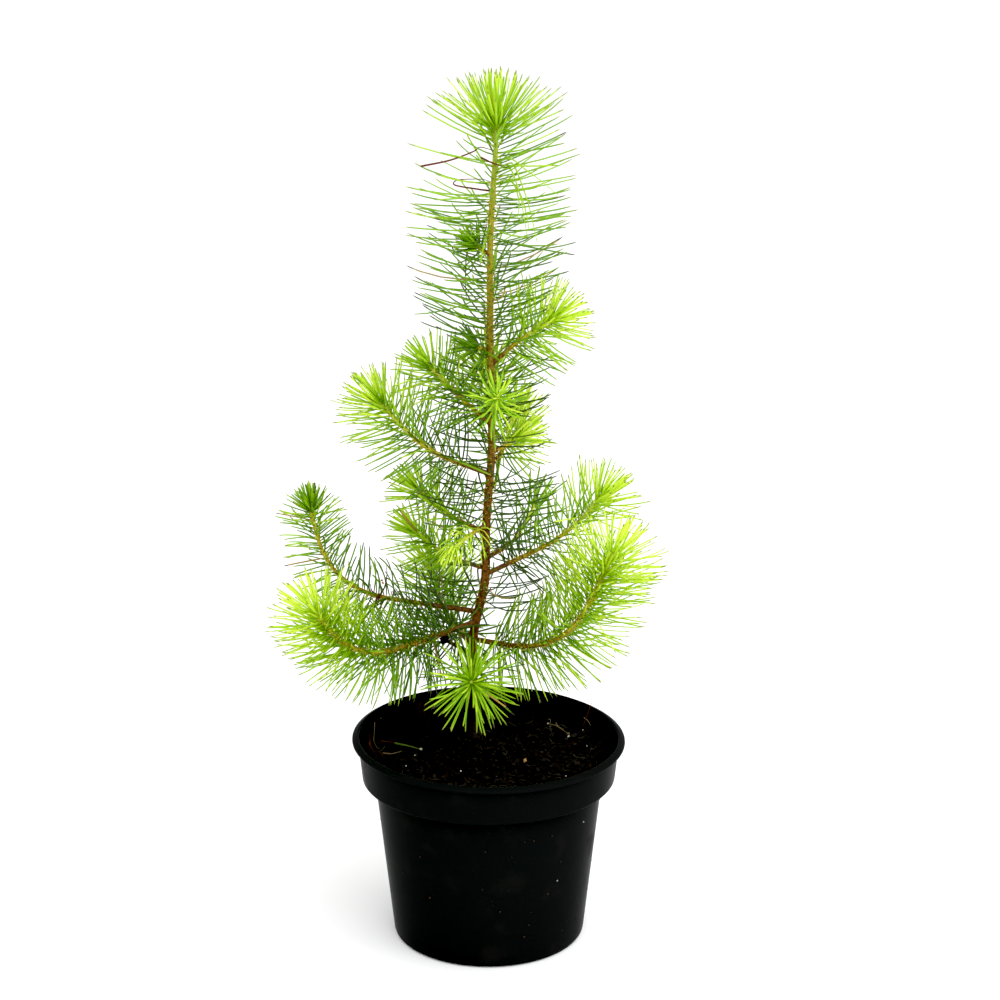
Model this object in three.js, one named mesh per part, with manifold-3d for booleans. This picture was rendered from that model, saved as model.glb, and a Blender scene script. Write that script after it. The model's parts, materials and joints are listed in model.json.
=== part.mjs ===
// A young stone pine, two or three years from seed, in a round black nursery pot.
// Units are millimetres and +Z is up. The origin is the middle of the pot's flat underside,
// +X is to the right and -Y is to the front of the plant.
// The trunk stands whole on the soil. Each bough is one tapering limb that ends where its
// needles begin, and each mass of needles is a slim stem, some of whose faces are drawn out into
// needles. The needles of the trunk itself stand on thin sleeves that lie clear of its bark.

import * as THREE from "three";
import { mergeVertices } from "three/addons/utils/BufferGeometryUtils.js";
import Module from "manifold-3d";

const wasm = await Module();
wasm.setup();

// Clearance between pieces that touch on the real plant.
const SEAT_GAP = 0.35;

// Pot: a thin moulded plastic cone with a collar, a lip and a recessed, drained base.
const POT_HEIGHT = 100;
const POT_SIDES = 44;
const WALL = 1.2;
const LIP_RADIUS = 65;
// The lip slopes down and outwards from the pot's top edge, and ends in a thin edge.
const LIP_DEPTH = 2.8;
const LIP_EDGE = 1.4;
const COLLAR_TOP_RADIUS = 62.2;
const COLLAR_FOOT_RADIUS = 60.2;
const COLLAR_FOOT = 78.8;
const BODY_TOP_RADIUS = 54.4;
const BODY_FOOT_RADIUS = 45.6;
const FOOT_ROUNDING = 2.6;
const FOOT_CORNER = 0.8;
const EDGE_ROUNDING = 0.7;
const RECESS_INNER_RADIUS = 14;
const RECESS_OUTER_RADIUS = 37;
const RECESS_HEIGHT = 2.4;
const RECESS_SLOPE = 1.6;
const DRAIN_COUNT = 8;
const DRAIN_RADIUS = 3.2;
const DRAIN_CIRCLE = 25.5;
const DRAIN_SIDES = 10;

// Soil: it fills the pot to a little under the lip, with a gently uneven top and a flat pad
// under the trunk.
const SOIL_LEVEL = 89;
const SOIL_SIDES = 30;
const SOIL_RINGS = [50, 38, 25, 12];
const SOIL_EDGE_DROP = 1.1;
const SOIL_SETTLED = 0.44;
const SWELL_HEIGHT = 0.55;
// Each swell of the soil's top: radians per millimetre to the right and to the back, and where
// it starts.
const SOIL_SWELLS = [
  { right: 0.11, back: 0.13, start: 0.2 },
  { right: 0.11, back: -0.13, start: 1 },
  { right: 0.27, back: -0.19, start: 0 },
];
const FOOT_PAD_RADIUS = 7;
const FOOT_PAD_DEPTH = 6;
const FOOT_PAD_SIDES = 12;
const FOOT_PAD_MARGIN = 0.5;
// More clearance where the flats of a round wall come nearer than its corners.
const FACET_ROOM = 0.2;

// Trunk: its place in the pot, height, sways and thickness. Heights are above the soil.
const TRUNK_X = -7.8;
const TRUNK_Y = 25;
const TRUNK_HEIGHT = 276;
const TRUNK_SIDES = 8;
const TRUNK_STEP = 8;
// Each sway moves the trunk between two heights, so far to the right and to the back.
const TRUNK_SWAYS = [
  { from: 46, to: 86, right: 6.4, back: -1 },
  { from: 98, to: 150, right: 2.9, back: -2 },
  { from: 165, to: 205, right: -0.7, back: 0 },
  { from: 235, to: 306, right: 3.2, back: 0 },
];
const FLARE_RADIUS = 4.3;
const FLARE_HEIGHT = 15;
const TRUNK_FOOT_RADIUS = 2.45;
const TRUNK_TIP_RADIUS = 1.15;

// Limbs and stems. A bough's line is followed in this many straight pieces.
const LINE_PIECES = 60;
const LIMB_SIDES = 6;
const LIMB_STEP = 5;
const STEM_SIDES = 5;
const STEM_TWIST = 17;
const STEM_TIP_SHARE = 0.6;
const BEND_SPREAD = 0.3;
// How much of the trunk is cut from a bough's foot, below and above the bough.
const CUT_BELOW = 10;
const CUT_ABOVE = 14;

// Needles: a stem has rings of corners at this pitch, and every second face between the rings
// is drawn out to a needle's point, so that a needle is one body with its stem.
const NEEDLE_PITCH = 1.7;
const NEEDLE_EVERY = 2;
const NEEDLE_ROOT_RADIUS = 0.8;
const NEEDLE_TIP_RADIUS = 0.15;
const NEEDLE_GAP = 0.45;
const NEIGHBOUR_GAP = 0.12;
const ROOT_SHARE = 0.3;
const TILT_AT_BASE = 80;
const TILT_AT_TIP = 54;
const TILT_SPREAD = 4;
const LENGTH_SPREAD = 0.08;
const INNER_SHORTENING = 0.3;
const INNER_SHARE = 0.25;
const TUFT_LENGTH = 5;
const TUFT_TILT_LOW = 34;
const TUFT_TILT_HIGH = 8;
const TUFT_SHORTENING = 0.32;
// Limbs are kept clear of in straight rods of this length, which for a bough start this far out
// from the middle of the trunk.
const ROD_LENGTH = 4;
const ROD_START = 3;
const POT_MARGIN = 2;
const SEED_STEP = 100;

// The boughs, from the top down. `at` is the height on the trunk. `heading` is the compass
// direction in degrees, 0 to the right and 90 to the back, and `turn` is how far it swings along
// the bough. `rise` and `lift` are the slopes before and after the bend, which lies at `bend` of
// the length. `bare` is the length of the limb before its needles, whose length is `needle`, or
// `tipNeedle` at the tip. `split` is the share of the length at which the needles of a bent bough
// are parted in two masses.
const BOUGHS = [
  {
    name: "left_bud", radius: 1, bare: 0, needle: 13,
    at: 238, heading: 168, length: 11, rise: 28, lift: 40,
  },
  {
    name: "left_fan", radius: 1, bare: 0, needle: 17,
    at: 193, heading: 182, length: 9, rise: 12, lift: 18,
  },
  {
    name: "right_upper", radius: 1.1, bare: 9, needle: 27,
    at: 186, heading: -8, length: 38, rise: 43, lift: 33,
  },
  {
    name: "front_upper", radius: 1.1, bare: 9, needle: 23,
    at: 161, heading: -85, length: 40, rise: 27, lift: 30,
  },
  {
    name: "left_upper", radius: 1.1, bare: 9, needle: 23,
    at: 157, heading: 178, length: 42, rise: 42, lift: 47,
  },
  {
    name: "back_upper", radius: 1.1, bare: 9, needle: 24,
    at: 155, heading: 92, length: 42, rise: 30, lift: 44,
  },
  {
    name: "right_back_upper", radius: 1.1, bare: 9, needle: 21,
    at: 144, heading: 36, length: 18, rise: 12, lift: 24,
  },
  {
    name: "back_middle", radius: 1.1, bare: 10, needle: 24,
    at: 137, heading: 74, length: 46, rise: 6, lift: 34,
  },
  {
    name: "left_middle", radius: 1.2, bare: 13, needle: 27, split: 0.5,
    at: 133, heading: 182, length: 65, rise: 21, lift: 48,
  },
  {
    name: "front_left", radius: 1, bare: 8, needle: 19,
    at: 108, heading: -118, turn: -6, length: 32, rise: -4, lift: -12,
  },
  {
    name: "back_left_upper", radius: 1.1, bare: 9, needle: 23,
    at: 104, heading: 150, length: 42, rise: 13, lift: 32,
  },
  {
    name: "back_right", radius: 1.2, bare: 12, needle: 24, split: 0.5,
    at: 91, heading: 62, length: 56, rise: 0, lift: 34, bend: 0.55,
  },
  {
    name: "back_left_lower", radius: 1.1, bare: 9, needle: 22,
    at: 86, heading: 160, length: 41, rise: 10, lift: 36,
  },
  {
    name: "right_middle", radius: 1.2, bare: 13, needle: 27, split: 0.52,
    at: 83, heading: 5, length: 68, rise: 25, lift: 48, bend: 0.62,
  },
  {
    name: "left_long", radius: 1.25, bare: 20, needle: 21, tipNeedle: 17, split: 0.55,
    at: 64, heading: 172, length: 104, rise: 6, lift: 76, bend: 0.65,
  },
  {
    name: "left_low", radius: 1.25, bare: 15, needle: 26, split: 0.5,
    at: 59, heading: 214, turn: -8, length: 97, rise: -8, lift: 56, bend: 0.66,
  },
  {
    name: "right_low", radius: 1.25, bare: 14, needle: 27, split: 0.46,
    at: 50, heading: -22, turn: 22, length: 96, rise: -3, lift: 65, bend: 0.44,
  },
  {
    name: "back_left_low", radius: 1.2, bare: 14, needle: 23, split: 0.5,
    at: 47, heading: 112, length: 66, rise: 2, lift: 50, bend: 0.55,
  },
  {
    name: "front_low", radius: 1.15, bare: 10, needle: 25,
    at: 40, heading: -88, length: 50, rise: -6, lift: 22, bend: 0.6,
  },
];

// A dead stub low on the trunk, with the dark knob of its dried bud.
const STUB = { at: 43, heading: 178, length: 15, rise: 22, lift: 30, radius: 0.9 };
const STUB_KNOB_RADIUS = 2.3;

// The needles of the trunk: stretches of it between the boughs, each with a sleeve.
const TRUNK_COATS = [
  { from: 70, to: 79, needle: 32 },
  { from: 113, to: 128, needle: 37 },
  { from: 166, to: 181, needle: 29 },
  { from: 199, to: 233, needle: 38 },
  { from: 243, to: 273, needle: 36 },
];
const COAT_TILT_LOW = 84;
const COAT_TILT_HIGH = 72;
const SLEEVE_WALL = 0.55;
const SLEEVE_SIDES = 9;
const SLEEVE_PITCH = 2.2;
const SLEEVE_EVERY = 2;
const SLEEVE_BORE_OVERRUN = 6;

// The leader above the trunk's tip: a short green stem with the top tuft.
const LEADER_LENGTH = 17;
const LEADER_TIP_RADIUS = 0.8;
const LEADER_EVERY = 1;
const LEADER_NEEDLE_LOW = 39;
const LEADER_NEEDLE_HIGH = 34;
const LEADER_TILT_LOW = 70;
const LEADER_TILT_HIGH = 36;

// Corners nearer than this are one corner.
const MERGE_DISTANCE = 1e-4;
// Two rods are parallel where the square of their skew is below this.
const PARALLEL = 1e-9;

const { clamp, degToRad, lerp, smoothstep } = THREE.MathUtils;
const UP = new THREE.Vector3(0, 0, 1);

// Materials, from the colours in the photograph.
const plain = (color, roughness) =>
  new THREE.MeshStandardMaterial({ color, roughness, metalness: 0 });
const POT_PLASTIC = plain(0x101312, 0.42);
const POTTING_SOIL = plain(0x1c1410, 0.95);
const BARK = plain(0x5b3a1e, 0.85);
const NEEDLE_FRESH = plain(0x9ad22a, 0.5);
const NEEDLE_GROWN = plain(0x4f9a24, 0.5);
const DEAD_WOOD = plain(0x2a1a12, 0.95);

// Solids

// A closed geometry as a solid. Corners that meet are merged, and slivers dropped.
function solidOf(geometry) {
  const bare = geometry.index ? geometry.toNonIndexed() : geometry.clone();
  bare.deleteAttribute("normal");
  bare.deleteAttribute("uv");
  const merged = mergeVertices(bare, MERGE_DISTANCE);
  const corners = merged.index.array;
  const kept = [];
  for (let i = 0; i < corners.length; i += 3) {
    const [a, b, c] = corners.slice(i, i + 3);
    if (a !== b && b !== c && c !== a) kept.push(a, b, c);
  }
  return new wasm.Manifold(
    new wasm.Mesh({
      numProp: 3,
      vertProperties: merged.attributes.position.array,
      triVerts: new Uint32Array(kept),
    }),
  );
}

// A solid as a named, flat-shaded mesh. Loose scraps of a cut are dropped.
function meshOf(name, solid, material) {
  const largest = solid.decompose().reduce((a, b) => (a.volume() > b.volume() ? a : b));
  const { numProp, vertProperties, triVerts } = largest.getMesh();
  const positions = [];
  for (let i = 0; i < vertProperties.length; i += numProp) {
    positions.push(...vertProperties.subarray(i, i + 3));
  }
  const geometry = new THREE.BufferGeometry();
  geometry.setAttribute("position", new THREE.Float32BufferAttribute(positions, 3));
  geometry.setIndex(new THREE.BufferAttribute(triVerts, 1));
  const flat = geometry.toNonIndexed();
  flat.computeVertexNormals();
  const mesh = new THREE.Mesh(flat, material);
  mesh.name = name;
  return mesh;
}

// Lines

// Distances from one end of a stretch to the other, at about the given step.
function stationsOf(from, to, step) {
  const count = Math.max(1, Math.round((to - from) / step));
  return Array.from({ length: count + 1 }, (_, i) => lerp(from, to, i / count));
}

// The trunk's centre at a height above the soil.
function trunkLine(height) {
  const point = new THREE.Vector3(TRUNK_X, TRUNK_Y, SOIL_LEVEL + height);
  for (const sway of TRUNK_SWAYS) {
    const share = smoothstep(height, sway.from, sway.to);
    point.x += sway.right * share;
    point.y += sway.back * share;
  }
  return point;
}

// The trunk's radius: a root flare, then an even taper to the tip.
function trunkRadius(height) {
  const taper = lerp(TRUNK_FOOT_RADIUS, TRUNK_TIP_RADIUS, height / TRUNK_HEIGHT);
  const flare = Math.max(0, 1 - height / FLARE_HEIGHT) ** 2;
  return taper + (FLARE_RADIUS - TRUNK_FOOT_RADIUS) * flare;
}

// A bough's centre line, by the distance along it from the middle of the trunk.
function boughLine({ at, heading, turn = 0, length, rise, lift, bend = 0.5 }) {
  const points = [trunkLine(at)];
  for (let i = 0; i < LINE_PIECES; i++) {
    const share = (i + 0.5) / LINE_PIECES;
    const bent = smoothstep(share, bend - BEND_SPREAD, bend + BEND_SPREAD);
    const slope = degToRad(lerp(rise, lift, bent));
    const compass = degToRad(heading + turn * share);
    const ahead = new THREE.Vector3(Math.cos(compass), Math.sin(compass), 0);
    ahead.multiplyScalar(Math.cos(slope)).addScaledVector(UP, Math.sin(slope));
    points.push(points[i].clone().addScaledVector(ahead, length / LINE_PIECES));
  }
  return (distance) => {
    const place = (distance / length) * LINE_PIECES;
    const low = clamp(Math.floor(place), 0, LINE_PIECES - 1);
    return points[low].clone().lerp(points[low + 1], place - low);
  };
}

// Which way a line points at a distance along it.
function directionOf(line, distance) {
  const step = 0.5;
  return line(distance + step).sub(line(distance - step)).normalize();
}

// Skins over rings

// Rings of corners round a line. Each ring is turned `twist` degrees further than the last, and
// knows its share of `reach`, the limb's length. Level rings lie flat, as the trunk's cut foot
// needs.
function ringsAlong({ line, stations, radiusAt, sides, twist = 0, level = false, reach = 1 }) {
  const side = new THREE.Vector3(1, 0, 0);
  const nearlyAlong = 0.8;
  return stations.map((distance, i) => {
    const centre = line(distance);
    const along = level ? UP : directionOf(line, distance);
    if (i === 0 && Math.abs(along.x) > nearlyAlong) side.set(0, 1, 0);
    side.addScaledVector(along, -along.dot(side)).normalize();
    const other = new THREE.Vector3().crossVectors(along, side);
    const corners = Array.from({ length: sides }, (_, j) => {
      const angle = degToRad(twist * i) + (2 * Math.PI * j) / sides;
      const out = side.clone().multiplyScalar(Math.cos(angle));
      out.addScaledVector(other, Math.sin(angle));
      return centre.clone().addScaledVector(out, radiusAt(distance));
    });
    return { distance, share: distance / reach, centre, along, corners };
  });
}

// The four corners of the face after corner j, between ring i and the next.
function faceOf(rings, i, j) {
  const next = (j + 1) % rings[i].corners.length;
  const low = rings[i].corners;
  const high = rings[i + 1].corners;
  return [low[j], low[next], high[next], high[j]];
}

// The middle of a face.
function middleOf(corners) {
  const sum = new THREE.Vector3();
  for (const corner of corners) sum.add(corner);
  return sum.divideScalar(corners.length);
}

// The closed skin over some rings. `points` gives the point that a face is drawn out to, by the
// face's number, and `end` is the point that the far end is drawn out to.
function skinOf(rings, points = new Map(), end = null) {
  const sides = rings[0].corners.length;
  const first = rings[0].corners;
  const last = rings[rings.length - 1].corners;
  const triangles = [];
  for (let i = 0; i < rings.length - 1; i++) {
    for (let j = 0; j < sides; j++) {
      const [a, b, c, d] = faceOf(rings, i, j);
      const point = points.get(i * sides + j);
      if (point) {
        triangles.push(a, b, point, b, c, point, c, d, point, d, a, point);
      } else {
        triangles.push(a, b, c, a, c, d);
      }
    }
  }
  for (let j = 1; j < sides - 1; j++) {
    triangles.push(first[0], first[j + 1], first[j]);
    if (!end) triangles.push(last[0], last[j], last[j + 1]);
  }
  for (let j = 0; j < sides && end; j++) {
    triangles.push(last[j], last[(j + 1) % sides], end);
  }
  return solidOf(new THREE.BufferGeometry().setFromPoints(triangles));
}

// A closed tapering limb.
function limb(line, from, to, radiusAt) {
  const stations = stationsOf(from, to, LIMB_STEP);
  return skinOf(ringsAlong({ line, stations, radiusAt, sides: LIMB_SIDES }));
}

// The trunk between two heights, thicker all round by `extra`.
function trunkBetween(from, to, extra) {
  return skinOf(
    ringsAlong({
      line: trunkLine,
      stations: stationsOf(from, to, TRUNK_STEP),
      radiusAt: (height) => trunkRadius(height) + extra,
      sides: TRUNK_SIDES,
      level: true,
    }),
  );
}

// Space between needles

// The free space between two tapering rods.
function spaceBetween(a, b) {
  const apart = a.from.clone().sub(b.from);
  const alongA = a.to.clone().sub(a.from);
  const alongB = b.to.clone().sub(b.from);
  const aa = alongA.lengthSq();
  const bb = alongB.lengthSq();
  const ab = alongA.dot(alongB);
  const bu = alongB.dot(apart);
  const au = alongA.dot(apart);
  const skew = aa * bb - ab * ab;
  const guess = skew > PARALLEL ? clamp((ab * bu - au * bb) / skew, 0, 1) : 0;
  const t = clamp((ab * guess + bu) / bb, 0, 1);
  const s = clamp((ab * t - au) / aa, 0, 1);
  const nearA = a.from.clone().addScaledVector(alongA, s);
  const nearB = b.from.clone().addScaledVector(alongB, t);
  return nearA.distanceTo(nearB) - lerp(a.thick, a.thin, s) - lerp(b.thick, b.thin, t);
}

// Every rod that a needle has to keep clear of, with the name of the node that it belongs to.
const rods = [];

// Adds a limb to the rods, as short straight pieces.
function keepClearOf(owner, line, from, to, radiusAt) {
  const stations = stationsOf(from, to, ROD_LENGTH);
  for (let i = 1; i < stations.length; i++) {
    const [low, high] = [stations[i - 1], stations[i]];
    rods.push({
      owner,
      from: line(low),
      to: line(high),
      thick: radiusAt(low),
      thin: radiusAt(high),
    });
  }
}

// True where a needle stays over the soil and off the pot's wall and lip.
function clearOfPot({ from, to }) {
  const samples = [0.25, 0.5, 0.75, 1];
  return samples.every((share) => {
    const { x, y, z } = from.clone().lerp(to, share);
    const out = Math.hypot(x, y);
    if (out > LIP_RADIUS + POT_MARGIN) return true;
    if (out < COLLAR_FOOT_RADIUS - WALL - POT_MARGIN) return z > SOIL_LEVEL + POT_MARGIN;
    return z > POT_HEIGHT + POT_MARGIN;
  });
}

// A number from 0 to 1 that looks random, and is the same each time for the same seed.
function chance(seed) {
  const [stride, scatter] = [12.9898, 43758.5453];
  return Math.abs(Math.sin(seed * stride) * scatter) % 1;
}

// Masses

const plant = new THREE.Group();
const masses = [];
const wanted = [];

// A mass of needles: its rings, and the needles that it would like to carry. At a growing tip
// the faces between the others carry shorter needles too, which close up round the stem's own
// point in a tuft.
function addMass({ owner, rings, every, tiltAt, lengthAt, tufted, material, bore = null }) {
  const sides = rings[0].corners.length;
  const last = rings[rings.length - 1];
  const seed = SEED_STEP * masses.length;
  for (let i = 0; i < rings.length - 1; i++) {
    const { along, centre, distance, share } = rings[i];
    const toTip = last.distance - distance;
    for (let j = 0; j < sides; j++) {
      const face = i * sides + j;
      const grown = face % every === 0;
      if (!grown && !(tufted && toTip < TUFT_LENGTH)) continue;
      const root = middleOf(faceOf(rings, i, j));
      const out = root.clone().sub(centre.clone().lerp(rings[i + 1].centre, 0.5)).normalize();
      const stand = grown ? tiltAt(share) : lerp(TUFT_TILT_HIGH, TUFT_TILT_LOW, toTip / TUFT_LENGTH);
      const tilt = degToRad(stand + TILT_SPREAD * (2 * chance(face + seed) - 1));
      const way = along.clone().multiplyScalar(Math.cos(tilt)).addScaledVector(out, Math.sin(tilt));
      const odds = 1 + LENGTH_SPREAD * (2 * chance(face + seed + 0.5) - 1);
      const length = lengthAt(share) * odds * (grown ? 1 : 1 - TUFT_SHORTENING);
      wanted.push({
        owner,
        face,
        share,
        from: root,
        to: root.clone().addScaledVector(way, length),
        thick: NEEDLE_ROOT_RADIUS,
        thin: NEEDLE_TIP_RADIUS,
      });
    }
  }
  const point = lengthAt(1) * (1 - TUFT_SHORTENING);
  const end = tufted ? last.centre.clone().addScaledVector(last.along, point) : null;
  masses.push({ owner, rings, end, bore, material, points: new Map() });
}

// The outer part of a needle, beyond the crowd at the stem.
function outerPart(spike) {
  return {
    ...spike,
    from: spike.from.clone().lerp(spike.to, ROOT_SHARE),
    thick: lerp(spike.thick, spike.thin, ROOT_SHARE),
  };
}

// Grows the wanted needles in turn, from the tips inwards. One that would touch another mass, a
// limb, the pot or the soil is left out, and so is one that would cross a neighbour.
function growNeedles() {
  const byOwner = new Map(masses.map((mass) => [mass.owner, mass]));
  wanted.sort((a, b) => b.share - a.share);
  for (const spike of wanted) {
    const outer = outerPart(spike);
    const blocked = rods.some((rod) => {
      if (rod.owner === spike.owner) return spaceBetween(outer, rod.outer ?? rod) < NEIGHBOUR_GAP;
      const carriesIt = rod.owner === "trunk" && byOwner.get(spike.owner).bore;
      return !carriesIt && spaceBetween(spike, rod) < NEEDLE_GAP;
    });
    if (blocked || !clearOfPot(spike)) continue;
    rods.push({ ...spike, outer });
    byOwner.get(spike.owner).points.set(spike.face, spike.to);
  }
}

// Pot

function pot() {
  const slope = (COLLAR_TOP_RADIUS - COLLAR_FOOT_RADIUS) / (POT_HEIGHT - LIP_DEPTH - COLLAR_FOOT);
  const lipFoot = POT_HEIGHT - LIP_DEPTH;
  const floor = RECESS_HEIGHT + WALL;
  const profile = [
    [0, 0],
    [RECESS_INNER_RADIUS, 0],
    [RECESS_INNER_RADIUS + RECESS_SLOPE, RECESS_HEIGHT],
    [RECESS_OUTER_RADIUS - RECESS_SLOPE, RECESS_HEIGHT],
    [RECESS_OUTER_RADIUS, 0],
    [BODY_FOOT_RADIUS - FOOT_ROUNDING, 0],
    [BODY_FOOT_RADIUS - FOOT_CORNER, FOOT_CORNER],
    [BODY_FOOT_RADIUS, FOOT_ROUNDING],
    [BODY_TOP_RADIUS, COLLAR_FOOT],
    [COLLAR_FOOT_RADIUS - EDGE_ROUNDING, COLLAR_FOOT],
    [COLLAR_FOOT_RADIUS, COLLAR_FOOT + EDGE_ROUNDING],
    [COLLAR_TOP_RADIUS, lipFoot],
    [LIP_RADIUS - EDGE_ROUNDING, lipFoot],
    [LIP_RADIUS, lipFoot + EDGE_ROUNDING],
    [LIP_RADIUS, lipFoot + LIP_EDGE],
    [COLLAR_TOP_RADIUS, POT_HEIGHT],
    [COLLAR_TOP_RADIUS - WALL, POT_HEIGHT - EDGE_ROUNDING],
    [COLLAR_FOOT_RADIUS - WALL + slope, COLLAR_FOOT + WALL],
    [BODY_TOP_RADIUS - WALL, COLLAR_FOOT + WALL],
    [BODY_FOOT_RADIUS - WALL, floor],
    [RECESS_INNER_RADIUS - WALL, floor],
    [RECESS_INNER_RADIUS - WALL, WALL],
    [0, WALL],
  ].map(([radius, height]) => new THREE.Vector2(radius, height));
  const shell = solidOf(new THREE.LatheGeometry(profile, POT_SIDES).rotateX(Math.PI / 2));
  const drains = Array.from({ length: DRAIN_COUNT }, (_, i) => {
    const angle = (2 * Math.PI * (i + 0.5)) / DRAIN_COUNT;
    const through = 4 * floor;
    const hole = new THREE.CylinderGeometry(DRAIN_RADIUS, DRAIN_RADIUS, through, DRAIN_SIDES);
    hole.rotateX(Math.PI / 2);
    hole.translate(DRAIN_CIRCLE * Math.cos(angle), DRAIN_CIRCLE * Math.sin(angle), 0);
    return solidOf(hole);
  });
  return shell.subtract(wasm.Manifold.union(drains));
}

// Soil

// The height of the soil's top at a place.
function soilTop(x, y) {
  const swells = SOIL_SWELLS.map(({ right, back, start }) => Math.sin(right * x + back * y + start));
  return SOIL_LEVEL - SOIL_SETTLED + SWELL_HEIGHT * swells.reduce((a, b) => a + b);
}

function soil() {
  const clear = WALL + SEAT_GAP + FACET_ROOM;
  const bottom = RECESS_HEIGHT + WALL + SEAT_GAP;
  const shoulder = COLLAR_FOOT + WALL + SEAT_GAP;
  const profile = [
    [0, bottom],
    [BODY_FOOT_RADIUS - clear, bottom],
    [BODY_TOP_RADIUS - clear, shoulder],
    [COLLAR_FOOT_RADIUS - clear, shoulder],
    [COLLAR_FOOT_RADIUS - clear, SOIL_LEVEL - SOIL_EDGE_DROP],
    ...SOIL_RINGS.map((radius) => [radius, SOIL_LEVEL]),
    [0, SOIL_LEVEL],
  ].map(([radius, height]) => new THREE.Vector2(radius, height));
  const body = new THREE.LatheGeometry(profile, SOIL_SIDES).rotateX(Math.PI / 2);
  const places = body.attributes.position;
  for (let i = 0; i < places.count; i++) {
    const [x, y, z] = [places.getX(i), places.getY(i), places.getZ(i)];
    if (z > SOIL_LEVEL - SOIL_EDGE_DROP / 2) places.setZ(i, soilTop(x, y));
  }
  const block = (radius, middle) => {
    const round = new THREE.CylinderGeometry(radius, radius, FOOT_PAD_DEPTH, FOOT_PAD_SIDES);
    return solidOf(round.rotateX(Math.PI / 2).translate(TRUNK_X, TRUNK_Y, middle));
  };
  const above = block(FOOT_PAD_RADIUS + FOOT_PAD_MARGIN, SOIL_LEVEL + FOOT_PAD_DEPTH / 2);
  const below = block(FOOT_PAD_RADIUS, SOIL_LEVEL - FOOT_PAD_DEPTH / 2);
  return solidOf(body).subtract(above).add(below);
}

plant.add(meshOf("pot", pot(), POT_PLASTIC));
plant.add(meshOf("soil", soil(), POTTING_SOIL));

// Trunk and boughs

plant.add(meshOf("trunk", trunkBetween(SEAT_GAP, TRUNK_HEIGHT, 0), BARK));
keepClearOf("trunk", trunkLine, 0, TRUNK_HEIGHT, trunkRadius);

// The trunk round a bough's foot, with the clearance between them.
const trunkAt = (height) => trunkBetween(height - CUT_BELOW, height + CUT_ABOVE, SEAT_GAP);

for (const bough of BOUGHS) {
  const { name, at, length, radius, bare, needle, tipNeedle = needle, split } = bough;
  const line = boughLine(bough);
  const radiusAt = (distance) => radius * lerp(1, STEM_TIP_SHARE, distance / length);
  if (bare > 0) {
    const arm = limb(line, 0, bare, radiusAt).subtract(trunkAt(at));
    plant.add(meshOf(`bough_${name}`, arm, BARK));
    keepClearOf(`bough_${name}`, line, ROD_START, bare, radiusAt);
  }
  const start = bare > 0 ? bare + SEAT_GAP : trunkRadius(at) + 2 * SEAT_GAP;
  const parting = length * (split ?? 0);
  const parts = split
    ? [
        { owner: `needles_${name}_inner`, from: start, to: parting, material: NEEDLE_GROWN },
        { owner: `needles_${name}_outer`, from: parting + SEAT_GAP, to: length },
      ]
    : [{ owner: `needles_${name}`, from: start, to: length }];
  for (const { owner, from, to, material = NEEDLE_FRESH } of parts) {
    const rings = ringsAlong({
      line,
      stations: stationsOf(from, to, NEEDLE_PITCH),
      radiusAt,
      sides: STEM_SIDES,
      twist: STEM_TWIST,
      reach: length,
    });
    keepClearOf(owner, line, from, to, radiusAt);
    addMass({
      owner,
      rings,
      every: NEEDLE_EVERY,
      tiltAt: (share) => lerp(TILT_AT_BASE, TILT_AT_TIP, share),
      lengthAt: (share) => {
        const inner = Math.max(0, 1 - share / INNER_SHARE);
        return lerp(needle, tipNeedle, share) * (1 - INNER_SHORTENING * inner);
      },
      tufted: to === length,
      material,
    });
  }
}

// The dead stub with its knob.
function deadStub() {
  const line = boughLine(STUB);
  const knob = new THREE.IcosahedronGeometry(STUB_KNOB_RADIUS, 0).translate(...line(STUB.length));
  const stick = limb(line, 0, STUB.length, () => STUB.radius);
  keepClearOf("dead_stub", line, ROD_START, STUB.length, () => STUB_KNOB_RADIUS);
  return stick.add(solidOf(knob)).subtract(trunkAt(STUB.at));
}

plant.add(meshOf("dead_stub", deadStub(), DEAD_WOOD));

// Needles of the trunk and the leader

TRUNK_COATS.forEach(({ from, to, needle }, i) => {
  const radiusAt = (height) => trunkRadius(height) + SEAT_GAP + SLEEVE_WALL;
  const rings = ringsAlong({
    line: trunkLine,
    stations: stationsOf(from, to, SLEEVE_PITCH),
    radiusAt,
    sides: SLEEVE_SIDES,
    level: true,
    reach: TRUNK_HEIGHT,
  });
  addMass({
    owner: `needles_trunk_${i + 1}`,
    rings,
    every: SLEEVE_EVERY,
    tiltAt: (share) => lerp(COAT_TILT_LOW, COAT_TILT_HIGH, share),
    lengthAt: () => needle,
    tufted: false,
    material: NEEDLE_GROWN,
    bore: trunkBetween(from - SLEEVE_BORE_OVERRUN, to + SLEEVE_BORE_OVERRUN, SEAT_GAP),
  });
});

addMass({
  owner: "needles_leader",
  rings: ringsAlong({
    line: (distance) => trunkLine(TRUNK_HEIGHT + distance),
    stations: stationsOf(SEAT_GAP, LEADER_LENGTH, NEEDLE_PITCH),
    radiusAt: (distance) => lerp(TRUNK_TIP_RADIUS, LEADER_TIP_RADIUS, distance / LEADER_LENGTH),
    sides: STEM_SIDES,
    twist: STEM_TWIST,
    reach: LEADER_LENGTH,
  }),
  every: LEADER_EVERY,
  tiltAt: (share) => lerp(LEADER_TILT_LOW, LEADER_TILT_HIGH, share),
  lengthAt: (share) => lerp(LEADER_NEEDLE_LOW, LEADER_NEEDLE_HIGH, share),
  tufted: true,
  material: NEEDLE_FRESH,
});

growNeedles();
for (const { owner, rings, points, end, bore, material } of masses) {
  const skin = skinOf(rings, points, end);
  plant.add(meshOf(owner, bore ? skin.subtract(bore) : skin, material));
}

export default plant;
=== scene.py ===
import json
import random
from collections import namedtuple
from itertools import product
from math import atan2, cos, hypot, pi, radians, sin, sqrt, tau

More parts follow.
